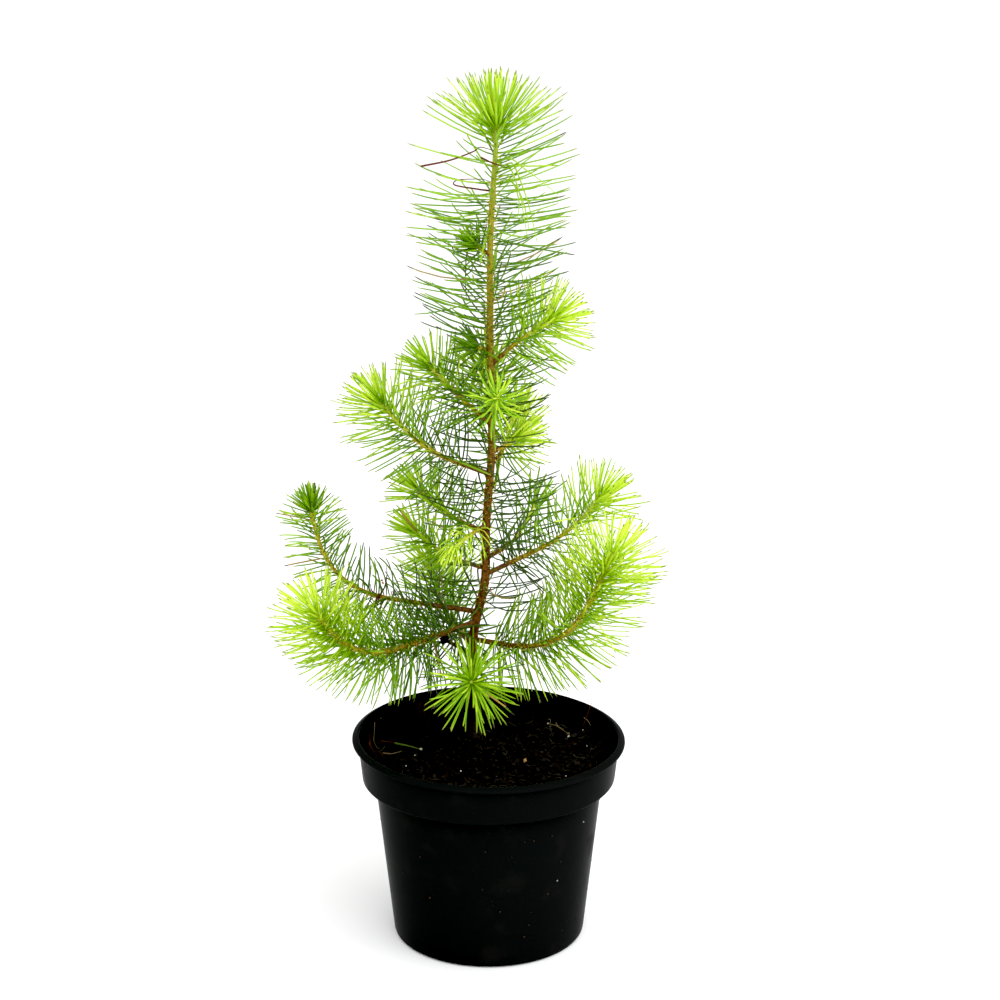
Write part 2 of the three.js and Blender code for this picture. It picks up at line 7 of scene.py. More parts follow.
import bpy
import numpy as np
from mathutils import Matrix, Vector, noise


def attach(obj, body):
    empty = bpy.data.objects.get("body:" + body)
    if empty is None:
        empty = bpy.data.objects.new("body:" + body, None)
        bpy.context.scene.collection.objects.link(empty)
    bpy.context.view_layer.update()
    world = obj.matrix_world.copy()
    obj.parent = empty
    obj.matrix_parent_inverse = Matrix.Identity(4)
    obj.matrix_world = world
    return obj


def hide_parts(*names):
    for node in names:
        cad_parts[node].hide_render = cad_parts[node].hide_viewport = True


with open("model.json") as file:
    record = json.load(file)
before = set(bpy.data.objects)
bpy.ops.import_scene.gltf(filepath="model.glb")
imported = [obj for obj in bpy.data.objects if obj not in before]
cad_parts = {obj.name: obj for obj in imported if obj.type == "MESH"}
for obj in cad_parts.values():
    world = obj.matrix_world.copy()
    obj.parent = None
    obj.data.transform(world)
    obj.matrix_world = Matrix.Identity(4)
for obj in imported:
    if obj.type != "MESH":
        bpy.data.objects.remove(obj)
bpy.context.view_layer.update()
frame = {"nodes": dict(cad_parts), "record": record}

# Pot. A thin round nursery pot, moulded in one piece from black plastic, with a wide collar, a
# sloping lip and a little slack in its shape. Its dished base stands on a foot ring and a middle
# disc, and eight holes in the dish let the water out.
POT_HEIGHT = 0.1
POT_WALL = 0.0012
LIP_RADIUS = 0.065
LIP_DEPTH = 0.0028
LIP_EDGE = 0.0014
COLLAR_TOP_RADIUS = 0.0622
COLLAR_FOOT_RADIUS = 0.0602
COLLAR_FOOT = 0.0788
BODY_TOP_RADIUS = 0.0544
BODY_FOOT_RADIUS = 0.0456
DISH_INNER_RADIUS = 0.014
DISH_OUTER_RADIUS = 0.037
DISH_HEIGHT = 0.0024
DISH_SLOPE = 0.0016
EDGE_ROUNDING = 0.0006
BEND_ROUNDING = 0.0008
FOOT_ROUNDINGS = (0.0026, 0.001)
COLLAR_ROUNDINGS = (0.0012, 0.0011)
DRAIN_COUNT = 8
DRAIN_RADIUS = 0.0032
DRAIN_SIDES = 28
DRAIN_CIRCLE = 0.0255
POT_SEGMENTS = 160
POT_WARP = 0.00012
RIM_DIP_RIGHT = 0.0009
RIM_RISE_BACK = 0.00115
SMOOTH_UP_TO = 32
BLACK = (0.008, 0.0086, 0.0084)
DUSTY_BLACK = (0.0102, 0.0102, 0.0098)


def smooth(mesh, up_to):
    """Shades a mesh smooth, but for its edges that are sharper than an angle."""
    mesh.shade_smooth()
    mesh.set_sharp_from_angle(angle=radians(up_to))


def stand(name, data):
    """Puts an object in the scene, with its mesh, light or lens."""
    thing = bpy.data.objects.new(name, data)
    bpy.context.scene.collection.objects.link(thing)
    return thing


def mesh_piece(name, points, faces, materials, tones=None, smooth_up_to=None):
    """An object from its points and faces. tones gives each face's material by its number."""
    mesh = bpy.data.meshes.new(name)
    mesh.from_pydata([tuple(map(float, point)) for point in points], [], faces)
    for material in materials:
        mesh.materials.append(material)
    if tones is not None:
        mesh.polygons.foreach_set("material_index", np.asarray(tones, np.int32))
    if smooth_up_to is not None:
        smooth(mesh, smooth_up_to)
    mesh.validate()
    return stand(name, mesh)


def settle(piece, slot, *nodes):
    """Fixes a finished piece to the plant and hides the solids that it stands for. The slot that it
    is given is not used.
    """
    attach(piece, "root")
    if nodes:
        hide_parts(*nodes)
    return piece


class Heap:
    """Points, faces and material numbers of many things that become one piece."""

    def __init__(self):
        self.points, self.faces, self.tones = [], [], []

    def add(self, points, faces, tone=0):
        """Adds a thing. tone is its material's number, or a list with one for each face."""
        start = len(self.points)
        self.points += [Vector(point) for point in points]
        self.faces += [tuple(start + corner for corner in face) for face in faces]
        self.tones += tone if isinstance(tone, list) else [tone] * len(faces)

    def piece(self, name, materials, smooth_up_to=None):
        return mesh_piece(name, self.points, self.faces, materials, self.tones, smooth_up_to)


def polar(radius, angle, height=0.0):
    """A point at a radius and an angle round the upright axis."""
    return Vector((radius * cos(angle), radius * sin(angle), height))


def rounded(corners, steps=4):
    """An outline through (radius, height, rounding) corners, each softened by its rounding."""
    outline = []
    for i, (radius, height, rounding) in enumerate(corners):
        corner = Vector((radius, height))
        if not rounding:
            outline.append(corner)
            continue
        before = corner + (Vector(corners[i - 1][:2]) - corner).normalized() * rounding
        after = corner + (Vector(corners[i + 1][:2]) - corner).normalized() * rounding
        for step in range(steps + 1):
            share = step / steps
            outline.append(before.lerp(corner, share).lerp(corner.lerp(after, share), share))
    return outline


def bands(rings, sides, first=0):
    """The faces between rings of corners, which are numbered from the first on."""
    faces = []
    for low in range(first, first + (rings - 1) * sides, sides):
        for j in range(sides):
            k = (j + 1) % sides
            faces.append((low + j, low + k, low + sides + k, low + sides + j))
    return faces


def revolve(outline, segments):
    """Points and faces of an outline turned round the upright axis, closed at both ends."""
    points = [Vector((0, 0, outline[0].y))]
    for spot in outline[1:-1]:
        points += [polar(spot.x, tau * j / segments, spot.y) for j in range(segments)]
    last = len(points)
    points.append(Vector((0, 0, outline[-1].y)))
    faces = bands(len(outline) - 2, segments, 1)
    for j in range(segments):
        k = (j + 1) % segments
        faces += [(0, 1 + k, 1 + j), (last - segments + j, last - segments + k, last)]
    return points, faces


def pot_outline():
    lip_foot = POT_HEIGHT - LIP_DEPTH
    floor = DISH_HEIGHT + POT_WALL
    shoulder = COLLAR_FOOT + POT_WALL
    return rounded([
        (0, 0, 0),
        (DISH_INNER_RADIUS, 0, EDGE_ROUNDING),
        (DISH_INNER_RADIUS + DISH_SLOPE, DISH_HEIGHT, EDGE_ROUNDING),
        (DISH_OUTER_RADIUS - DISH_SLOPE, DISH_HEIGHT, EDGE_ROUNDING),
        (DISH_OUTER_RADIUS, 0, EDGE_ROUNDING),
        (BODY_FOOT_RADIUS, 0, FOOT_ROUNDINGS[0]),
        (BODY_TOP_RADIUS, COLLAR_FOOT, COLLAR_ROUNDINGS[0]),
        (COLLAR_FOOT_RADIUS, COLLAR_FOOT, COLLAR_ROUNDINGS[1]),
        (COLLAR_TOP_RADIUS, lip_foot, EDGE_ROUNDING),
        (LIP_RADIUS, lip_foot, EDGE_ROUNDING),
        (LIP_RADIUS, lip_foot + LIP_EDGE, LIP_EDGE / 2),
        (COLLAR_TOP_RADIUS, POT_HEIGHT, BEND_ROUNDING),
        (COLLAR_TOP_RADIUS - POT_WALL, POT_HEIGHT - LIP_EDGE, EDGE_ROUNDING),
        (COLLAR_FOOT_RADIUS - POT_WALL, shoulder, BEND_ROUNDING),
        (BODY_TOP_RADIUS - POT_WALL, shoulder, BEND_ROUNDING),
        (BODY_FOOT_RADIUS - POT_WALL, floor, FOOT_ROUNDINGS[1]),
        (DISH_INNER_RADIUS - POT_WALL, floor, 0),
        (DISH_INNER_RADIUS - POT_WALL, POT_WALL, 0),
        (0, POT_WALL, 0),
    ])


def drill_drains(piece):
    """Cuts the drain holes through the dish."""
    reach = 3 * DISH_HEIGHT
    spots = ((0, -reach), (DRAIN_RADIUS, -reach), (DRAIN_RADIUS, reach), (0, reach))
    points, faces = revolve([Vector(spot) for spot in spots], DRAIN_SIDES)
    heap = Heap()
    for i in range(DRAIN_COUNT):
        place = polar(DRAIN_CIRCLE, tau * (i + 0.5) / DRAIN_COUNT)
        heap.add([point + place for point in points], faces)
    drills = heap.piece("drills", [])
    cut = piece.modifiers.new("drains", "BOOLEAN")
    cut.operation = "DIFFERENCE"
    cut.object = drills
    cut.solver = "EXACT"
    graph = bpy.context.evaluated_depsgraph_get()
    finished = bpy.data.meshes.new_from_object(piece.evaluated_get(graph))
    piece.modifiers.clear()
    piece.data = finished
    bpy.data.objects.remove(drills)


def give(tree, node, **inputs):
    """Sets inputs of a node, named with _ for a space, to values or to other nodes' outputs."""
    for label, value in inputs.items():
        socket = node.inputs[label.replace("_", " ")]
        if isinstance(value, bpy.types.NodeSocket):
            tree.links.new(value, socket)
        else:
            socket.default_value = value


def new_node(tree, kind, settings=None, **inputs):
    """Adds a shader node with its settings and inputs, and returns its outputs."""
    node = tree.nodes.new("ShaderNode" + kind)
    for name, setting in (settings or {}).items():
        setattr(node, name, setting)
    give(tree, node, **inputs)
    return node.outputs


def new_group(name, inputs, outputs):
    """An empty shader group, with its inputs' names and values and its outputs' names and kinds."""
    group = bpy.data.node_groups.new(name, "ShaderNodeTree")
    for label, value in inputs.items():
        kind = {4: "Color", 3: "Vector"}[len(value)] if isinstance(value, tuple) else "Float"
        socket = group.interface.new_socket(label, in_out="INPUT", socket_type="NodeSocket" + kind)
        socket.default_value = value
    for label, kind in outputs.items():
        group.interface.new_socket(label, in_out="OUTPUT", socket_type="NodeSocket" + kind)
    given = group.nodes.new("NodeGroupInput").outputs
    return group, given, group.nodes.new("NodeGroupOutput")


def mottling_group():
    """Two colours mixed in patches, which fade in from Start to End of a noise, and their mask."""
    group, given, result = new_group(
        "mottling",
        {"Main Colour": (0.5, 0.5, 0.5, 1), "Patch Colour": (0.2, 0.2, 0.2, 1), "Scale": 200.0,
         "Detail": 4.0, "Start": 0.35, "End": 0.65},
        {"Colour": "Color", "Mask": "Float"})
    place = new_node(group, "TexCoord")
    patches = new_node(group, "TexNoise", Vector=place["Object"], Scale=given["Scale"],
                       Detail=given["Detail"])
    edge = new_node(group, "MapRange", {"interpolation_type": "SMOOTHSTEP"},
                    Value=patches["Fac"], From_Min=given["Start"], From_Max=given["End"])
    blend = new_node(group, "Mix", {"data_type": "RGBA"}, Factor=edge["Result"],
                     A=given["Main Colour"], B=given["Patch Colour"])
    give(group, result, Colour=blend["Result"], Mask=edge["Result"])
    return group


def graining_group():
    """The surface normal of a fine uneven grain, which can be stretched."""
    group, given, result = new_group(
        "graining",
        {"Scale": 800.0, "Stretch": (1.0, 1.0, 1.0), "Roughness": 0.6, "Depth": 0.0001,
         "Strength": 0.5},
        {"Normal": "Vector"})
    place = new_node(group, "TexCoord")
    stretched = new_node(group, "Mapping", Vector=place["Object"], Scale=given["Stretch"])
    grain = new_node(group, "TexNoise", Vector=stretched["Vector"], Scale=given["Scale"],
                     Detail=5, Roughness=given["Roughness"])
    bump = new_node(group, "Bump", Height=grain["Fac"], Distance=given["Depth"],
                    Strength=given["Strength"])
    give(group, result, Normal=bump["Normal"])
    return group


mottling = mottling_group()
graining = graining_group()


def new_material(name, colour, roughness, specular):
    """A material with plain values on its shader. Returns its nodes and its shader too."""
    material = bpy.data.materials.new(name)
    material.use_nodes = True
    tree = material.node_tree
    shader = next(node for node in tree.nodes if node.type == "BSDF_PRINCIPLED")
    give(tree, shader, Base_Color=(*colour, 1), Roughness=roughness, Specular_IOR_Level=specular)
    return material, tree, shader


def mottled(tree, main, patch, **values):
    """The mottling group in a material, with its two colours and its other values."""
    return new_node(tree, "Group", {"node_tree": mottling}, Main_Colour=(*main, 1),
                    Patch_Colour=(*patch, 1), **values)


def grained(tree, **values):
    """The normal of a surface with a grain."""
    return new_node(tree, "Group", {"node_tree": graining}, **values)["Normal"]


def black_plastic():
    """Satin black plastic with a thin film of dust and dried splashes."""
    material, tree, shader = new_material("black_plastic", BLACK, 0.36, 0.005)
    dust = mottled(tree, BLACK, DUSTY_BLACK, Scale=70, Detail=9, Start=0.52, End=0.76)
    gloss = new_node(tree, "MapRange", Value=dust["Mask"], To_Min=0.3, To_Max=0.45)
    lines = grained(tree, Scale=900, Stretch=(0.12, 0.12, 1.0), Roughness=0.5, Depth=0.00003,
                    Strength=0.35)
    give(tree, shader, Base_Color=dust["Colour"], Roughness=gloss["Result"], Normal=lines)
    return material


def smoothstep(value, low, high):
    share = min(1, max(0, (value - low) / (high - low)))
    return share * share * (3 - 2 * share)


def make_pot():
    points, faces = revolve(pot_outline(), POT_SEGMENTS)
    for point in points:
        around = atan2(point.y, point.x)
        share = (point.z / POT_HEIGHT) ** 2
        slack = POT_WARP * share * (sin(2 * around + 0.7) - 1 + 0.4 * sin(3 * around))
        out = hypot(point.x, point.y)
        if out:
            point.xy *= 1 + slack / out
        rise = RIM_RISE_BACK * sin(around) - RIM_DIP_RIGHT * cos(around)
        point.z += rise * smoothstep(point.z, COLLAR_FOOT, POT_HEIGHT)
    piece = mesh_piece("pot_shell", points, faces, [black_plastic()])
    drill_drains(piece)
    smooth(piece.data, SMOOTH_UP_TO)
    return piece


settle(make_pot(), "pot_plastic", "pot")


# Soil. Dark moist peat, filled to a finger's breadth under the lip and settled a little. Fibres,
# flakes of bark, a few white mineral grains and crumbs lie loose on it.
SOIL_LEVEL = 0.089
SOIL_CLEARANCE = 0.0004
SOIL_SETTLED = 0.00084
SWELL_HEIGHT = 0.00055
SOIL_SWELLS = ((110, 130, 0.2), (110, -130, 1.0), (270, -190, 0.0))
SOIL_RINGS = 90
SOIL_SPOKES = 220
SOIL_EDGE_ROUNDING = 0.0008
LUMP_HEIGHT = 0.0013
LUMP_SCALE = 230
CRUMB_HEIGHT = 0.0007
CRUMB_SCALE = 900
SOIL_EDGE = COLLAR_FOOT_RADIUS - POT_WALL - SOIL_CLEARANCE
TRUNK_PLACE = Vector((-0.0078, 0.025, 0))
FOOT_PAD_RADIUS = 0.007
CALMEST = 0.3


def soil_height(x, y):
    """The height of the soil's top, with its lumps and crumbs."""
    swell = sum(sin(right * x + back * y + start) for right, back, start in SOIL_SWELLS)
    lumps = noise.fractal(Vector((x, y, 0.31)) * LUMP_SCALE, 1.0, 2.1, 3)
    crumbs = abs(noise.fractal(Vector((x, y, 0.77)) * CRUMB_SCALE, 0.8, 2.2, 3))
    to_foot = hypot(x - TRUNK_PLACE.x, y - TRUNK_PLACE.y)
    calm = min(1, max(CALMEST, to_foot / (2 * FOOT_PAD_RADIUS)))
    relief = LUMP_HEIGHT * lumps * calm + CRUMB_HEIGHT * crumbs
    return SOIL_LEVEL - SOIL_SETTLED + SWELL_HEIGHT * swell + relief


def peat():
    """Near-black peat, a little browner where it has dried."""
    material, tree, shader = new_material("moist_peat", (0.004, 0.003, 0.0025), 0.95, 0.1)
    patches = mottled(tree, (0.0037, 0.0031, 0.0027), (0.0135, 0.0095, 0.0066), Scale=420,
                      Detail=6, Start=0.48, End=0.72)
    give(tree, shader, Base_Color=patches["Colour"],
         Normal=grained(tree, Scale=2600, Depth=0.0003, Strength=0.8))
    return material


def make_soil_bed():
    """Its outline runs from the middle of the top out to the pot's inner wall and down to the
    middle of the bottom. The top then gets its relief."""
    inwards = POT_WALL + SOIL_CLEARANCE
    shoulder, bottom = COLLAR_FOOT + inwards, DISH_HEIGHT + inwards
    outline = [(SOIL_EDGE * i / SOIL_RINGS, SOIL_LEVEL) for i in range(SOIL_RINGS + 1)]
    outline += [(SOIL_EDGE - SOIL_EDGE_ROUNDING, shoulder), (BODY_TOP_RADIUS - inwards, shoulder),
                (BODY_FOOT_RADIUS - inwards, bottom), (0, bottom)]
    points, faces = revolve([Vector(spot) for spot in outline], SOIL_SPOKES)
    for point in points:
        if point.z > (shoulder + SOIL_LEVEL) / 2:
            point.z = soil_height(point.x, point.y)
    faces = [face[:1] + face[:0:-1] for face in faces]
    return mesh_piece("soil_bed", points, faces, [peat()], smooth_up_to=50)


settle(make_soil_bed(), "soil", "soil")


def tube_faces(rings, sides):
    """The faces of a tube with closed ends."""
    corners = rings * sides
    ends = [tuple(reversed(range(sides))), tuple(range(corners - sides, corners))]
    return bands(rings, sides) + ends


def thread(points, radii, sides=5, flat=1.0):
    """A closed round thread through some points, with a radius at each of them."""
    points = [Vector(point) for point in points]
    corners, side = [], None
    for i, point in enumerate(points):
        ahead = (points[min(i + 1, len(points) - 1)] - points[max(i - 1, 0)]).normalized()
        if side is None:
            side = ahead.orthogonal()
        side = (side - ahead * side.dot(ahead)).normalized()
        other = ahead.cross(side)
        for j in range(sides):
            angle = tau * j / sides
            out = side * cos(angle) + other * sin(angle) * flat
            corners.append(point + out * radii[i])
    return corners, tube_faces(len(points), sides)


def crumb(place, size, draw):
    """A small broken lump: an eight-cornered block with every corner knocked about."""
    turn = Matrix.Rotation(draw.uniform(0, tau), 3, Vector([draw.gauss(0, 1) for _ in "xyz"]))
    corners = []
    for x, y, z in product((-1, 1), repeat=3):
        knocked = Vector((x, y, z * 0.7)) * draw.uniform(0.55, 1.0)
        corners.append(place + turn @ knocked * size / 2)
    faces = [(0, 1, 3, 2), (4, 6, 7, 5), (0, 4, 5, 1), (2, 3, 7, 6), (0, 2, 6, 4), (1, 5, 7, 3)]
    return corners, faces


def matt(name, colour, roughness=0.85):
    """A dull material of one colour with a fine grain on its surface."""
    material, tree, shader = new_material(name, colour, roughness, 0.2)
    give(tree, shader, Normal=grained(tree, Scale=1800, Depth=0.0001, Strength=0.6))
    return material


def somewhere_on_soil(draw, most=0.97):
    """A random place on the soil, as a point on its surface."""
    place = polar(SOIL_EDGE * most * sqrt(draw.random()), draw.uniform(0, tau))
    place.z = soil_height(place.x, place.y)
    return place


CRUMB_COUNT = 900
CRUMB_SIZES = (0.0006, 0.0021)
SMALL_CRUMBS = 0.9
LARGE_CRUMB = 1.6
FLAKE_COUNT = 90
FLAKE_LENGTHS = (0.001, 0.0032)
FLAKE_WIDTHS = (0.0003, 0.0007)
FLAKE_LIFT = 0.0004
FIBRE_COUNT = 120
FIBRE_LENGTHS = (0.003, 0.013)
FIBRE_RADII = (0.00009, 0.0002)
FIBRE_STEPS = 7
MILLIMETRE = 0.001
GRAINS = ((-12.9, -22.5, 1), (4, -20.8, 0.6), (29.1, 43.7, 0.9), (32.9, 38.3, 0.8),
          (30.1, 36.2, 0.9), (38.5, 23.6, 1.2), (46.2, 33.1, 0.9), (47.3, 14.1, 0.8),
          (-35.2, -0.1, 0.7), (-39.1, -10.2, 0.7), (-24.1, -5.2, 0.5), (36.2, -26.2, 0.6))


def make_soil_litter():
    draw, heap = random.Random(11), Heap()
    for _ in range(CRUMB_COUNT):
        place = somewhere_on_soil(draw)
        size = draw.uniform(*CRUMB_SIZES) * (1 if draw.random() < SMALL_CRUMBS else LARGE_CRUMB)
        heap.add(*crumb(place + Vector((0, 0, size * 0.15)), size, draw), draw.choice((0, 0, 0, 1)))
    for _ in range(FLAKE_COUNT):
        place = somewhere_on_soil(draw) + Vector((0, 0, FLAKE_LIFT))
        reach = polar(1, draw.uniform(0, tau), draw.uniform(-0.3, 0.3))
        reach *= draw.uniform(*FLAKE_LENGTHS)
        wide = draw.uniform(*FLAKE_WIDTHS)
        heap.add(*thread([place - reach, place, place + reach], [wide * 0.6, wide, wide * 0.5],
                         flat=0.4), draw.choice((0, 1, 1, 2)))
    return heap.piece("soil_litter", [
        matt("peat_crumbs", (0.004, 0.003, 0.0024)),
        matt("bark_crumbs", (0.011, 0.009, 0.006)),
        matt("bark_flakes", (0.0145, 0.011, 0.0072)),
    ])


def make_soil_fibres():
    draw, heap = random.Random(12), Heap()
    for _ in range(FIBRE_COUNT):
        place = somewhere_on_soil(draw, 0.93)
        heading = draw.uniform(0, tau)
        bend = draw.uniform(-2.2, 2.2)
        length = draw.uniform(*FIBRE_LENGTHS)
        line = []
        for i in range(FIBRE_STEPS + 1):
            lift = 0.0002 + 0.0012 * draw.random() * sin(pi * i / FIBRE_STEPS)
            line.append(Vector((place.x, place.y, soil_height(place.x, place.y) + lift)))
            heading += bend / FIBRE_STEPS
            place = place + polar(1, heading) * length / FIBRE_STEPS
        if hypot(place.x, place.y) < SOIL_EDGE * 0.98:
            radii = [draw.uniform(*FIBRE_RADII)] * (FIBRE_STEPS + 1)
            heap.add(*thread(line, radii, 4), draw.choice((0, 0, 0, 1, 1, 2)))
    return heap.piece("soil_fibres", [
        matt("dark_root_fibre", (0.008, 0.0056, 0.004)),
        matt("brown_root_fibre", (0.0125, 0.0092, 0.0064)),
        matt("pale_straw_fibre", (0.04, 0.04, 0.024)),
    ], 60)


def make_mineral_grains():
    draw, heap = random.Random(13), Heap()
    for grain in GRAINS:
        x, y, size = Vector(grain) * MILLIMETRE
        heap.add(*crumb(Vector((x, y, soil_height(x, y) + size * 0.3)), size, draw))
    return heap.piece("mineral_grains", [matt("white_grains", (0.5, 0.5, 0.44), 0.6)])


settle(make_soil_litter(), "soil")
settle(make_soil_fibres(), "soil")
settle(make_mineral_grains(), "soil")


# Crumbs of soil and a few grains that stick to the pot's wall. Watering splashed them there, most
# of them at the front and the right.
WALL_CRUMBS = 46
STUCK_CRUMB = 0.0008
SPLASHED_AT = -42
SPLASH_SPREAD = 34


def make_wall_crumbs():
    draw, heap = random.Random(14), Heap()
    for i in range(WALL_CRUMBS):
        around = draw.gauss(SPLASHED_AT, SPLASH_SPREAD) if i % 3 else draw.uniform(0, 360)
        height = draw.uniform(0.012, COLLAR_FOOT - 0.004)
        out = BODY_FOOT_RADIUS + (BODY_TOP_RADIUS - BODY_FOOT_RADIUS) * height / COLLAR_FOOT
        size = STUCK_CRUMB * draw.uniform(0.3, 1.1)
        place = polar(out, radians(around), height)
        heap.add(*crumb(place, size, draw), 0 if draw.random() < 0.85 else 1)
    return heap.piece("wall_crumbs", [
        matt("stuck_peat", (0.035, 0.02, 0.012)),
        matt("stuck_grain", (0.32, 0.31, 0.27), 0.7),
    ])


settle(make_wall_crumbs(), "soil")


# Trunk. One slim woody stem from the flat cut at the soil to the foot of the leader, which is
# still green. Its bark is young and scaly, with a small raised cushion under every needle.
TRUNK_HEIGHT = 0.276
LEADER_LENGTH = 0.0225
TRUNK_SWAYS = (
    (0.046, 0.086, 0.0064, -0.001),
    (0.098, 0.150, 0.0029, -0.002),
    (0.165, 0.205, -0.0007, 0.0),
    (0.235, 0.306, 0.0032, 0.0),
)
FLARE_RADIUS = 0.0043
FLARE_HEIGHT = 0.015
TRUNK_FOOT_RADIUS = 0.00245
TRUNK_TIP_RADIUS = 0.00115
LEADER_TIP_RADIUS = 0.0008
TRUNK_FOOT = 0.00035
TRACK_STEP = 0.0005
NEARLY_ALONG = 0.8
GOLDEN_ANGLE = radians(137.508)
TRUNK_NEEDLE_PITCH = 0.0005
HIGH_NEEDLE_PITCH = 0.00035
CLOSER_NEEDLES = (0.17, 0.21)
WIDER_NEEDLES = (0.262, TRUNK_HEIGHT)
LEADER_NEEDLE_PITCHES = ((0.0, 0.00043), (0.5, 0.0004), (0.6, 0.00028), (0.8, 0.00014),
                         (0.88, 0.000042))
BARK_SIDES = 26
BARK_SCALE = 1400
TRUNK_ROUGHNESS = 0.00012
CUSHION_RISE = 0.00022
CUSHION_LENGTH = 0.0007
CUSHION_WIDTH = 0.36
CUSHION_STEEPNESS = (2.2, 0.7)
BARK_SCALES_FADE = (SOIL_LEVEL + 0.14, SOIL_LEVEL + 0.25)


def mix(low, high, share):
    return low + (high - low) * share


def trunk_line(height):
    """The trunk's centre at a height above the soil."""
    place = TRUNK_PLACE + Vector((0, 0, SOIL_LEVEL + height))
    for low, high, right, back in TRUNK_SWAYS:
        place += Vector((right, back, 0)) * smoothstep(height, low, high)
    return place


def trunk_radius(height):
    """The trunk's radius: a root flare, an even taper, and the leader's slimmer green stem."""
    if height > TRUNK_HEIGHT:
        share = min(1, (height - TRUNK_HEIGHT) / LEADER_LENGTH)
        return mix(TRUNK_TIP_RADIUS, LEADER_TIP_RADIUS, share)
    taper = mix(TRUNK_FOOT_RADIUS, TRUNK_TIP_RADIUS, height / TRUNK_HEIGHT)
    flare = max(0, 1 - height / FLARE_HEIGHT) ** 2
    return taper + (FLARE_RADIUS - TRUNK_FOOT_RADIUS) * flare


class Track:
    """A limb's centre line: its places, its direction and a steady side, at an even step."""

    def __init__(self, line, start, end, radius_at, level=False):
        count = max(2, round((end - start) / TRACK_STEP) + 1)
        self.length = end
        self.stations = np.linspace(start, end, count)
        self.centres = np.array([line(station) for station in self.stations])
        self.radii = np.array([radius_at(station) for station in self.stations])
        self.along = np.gradient(self.centres, axis=0)
        if level:
            self.along[:] = (0, 0, 1)
        self.along /= np.linalg.norm(self.along, axis=1, keepdims=True)
        self.side = np.empty_like(self.along)
        flat = abs(self.along[0, 0]) > NEARLY_ALONG
        side = np.array((0.0, 1.0, 0.0) if flat else (1.0, 0.0, 0.0))
        for i, ahead in enumerate(self.along):
            side = side - ahead * side.dot(ahead)
            side /= np.linalg.norm(side)
            self.side[i] = side
        self.other = np.cross(self.along, self.side)

    def at(self, distance):
        """The number of the nearest station."""
        first, last = self.stations[[0, -1]]
        return round((distance - first) / (last - first) * (len(self.stations) - 1))

    def out(self, i, turn):
        """The outward direction at a station, at an angle round the limb."""
        return self.side[i] * cos(turn) + self.other[i] * sin(turn)


def spiral(start, end, pitch_at):
    """Places round a limb from start to end, each a golden angle on from the last."""
    places, distance = [], start
    while distance < end:
        places.append((distance, len(places) * GOLDEN_ANGLE))
        distance += pitch_at(distance)
    return places


def barked_tube(track, sides, places, rise, width, rough, every=2):
    """Points and faces of a limb with a cushion under each needle and a rough skin."""
    last = len(track.stations) - 1
    picks = np.append(np.arange(0, last, every), last)
    turns = tau * np.arange(sides) / sides
    stations = track.stations[picks]
    radii = np.repeat(track.radii[picks][:, None], sides, axis=1)
    for mark, around in places:
        near = np.abs(stations - mark) < 4 * CUSHION_LENGTH
        drop = (stations[near] - mark)[:, None] / CUSHION_LENGTH
        drop *= np.where(drop > 0, *CUSHION_STEEPNESS)
        wide = (turns - around + pi) % tau - pi
        radii[near] += rise * np.exp(-(drop ** 2) - (wide[None, :] / width) ** 2)
    points = []
    for row, i in enumerate(picks):
        for j, turn in enumerate(turns):
            out = track.out(i, turn)
            place = Vector(track.centres[i] + out * radii[row, j])
            bark = noise.fractal(place * BARK_SCALE, 0.9, 2.0, 3) * rough
            points.append(place + Vector(out) * bark)
    return points, tube_faces(len(picks), sides)


def trunk_bark():
    """Bark from near black at the foot, which is painted shade under the lowest boughs, and dark
    brown above it, through red-brown and ochre, to a green stem.
    """
    material, tree, shader = new_material("trunk_bark", (0.12, 0.06, 0.03), 0.78, 0.3)
    place = new_node(tree, "TexCoord")
    height = new_node(tree, "SeparateXYZ", Vector=place["Object"])["Z"]
    share = new_node(tree, "MapRange", Value=height, From_Min=SOIL_LEVEL,
                     From_Max=SOIL_LEVEL + TRUNK_HEIGHT + LEADER_LENGTH)
    ramp = new_node(tree, "ValToRGB", Fac=share["Result"])["Color"]
    # The first two stops, near black, are painted shade on the foot under the lowest boughs.
    stops = ((0.0, (0.012, 0.007, 0.004)), (0.06, (0.016, 0.008, 0.005)),
             (0.11, (0.09, 0.034, 0.009)), (0.16, (0.17, 0.062, 0.01)),
             (0.36, (0.2, 0.085, 0.009)), (0.55, (0.23, 0.135, 0.012)),
             (0.72, (0.34, 0.27, 0.02)), (0.87, (0.42, 0.37, 0.03)),
             (0.94, (0.36, 0.46, 0.045)), (1.0, (0.36, 0.6, 0.06)))
    elements = ramp.node.color_ramp.elements
    while len(elements) < len(stops):
        elements.new(0.5)
    for element, (place, colour) in zip(elements, stops):
        element.position, element.color = place, (*colour, 1)
    scaly = new_node(tree, "MapRange", Value=height, From_Min=BARK_SCALES_FADE[0],
                     From_Max=BARK_SCALES_FADE[1], To_Min=1, To_Max=0.3)
    scales = mottled(tree, (1.0, 1.0, 1.0), (0.22, 0.16, 0.16), Scale=640, Detail=6,
                     Start=0.36, End=0.68)
    shade = new_node(tree, "Mix", {"data_type": "RGBA", "blend_type": "MULTIPLY"},
                     Factor=scaly["Result"], A=ramp, B=scales["Colour"])
    lines = grained(tree, Scale=1500, Stretch=(1.0, 1.0, 0.4), Depth=0.0003, Strength=0.8)
    give(tree, shader, Base_Color=shade["Result"], Normal=lines)
    return material


trunk_track = Track(trunk_line, TRUNK_FOOT, TRUNK_HEIGHT + LEADER_LENGTH, trunk_radius, level=True)


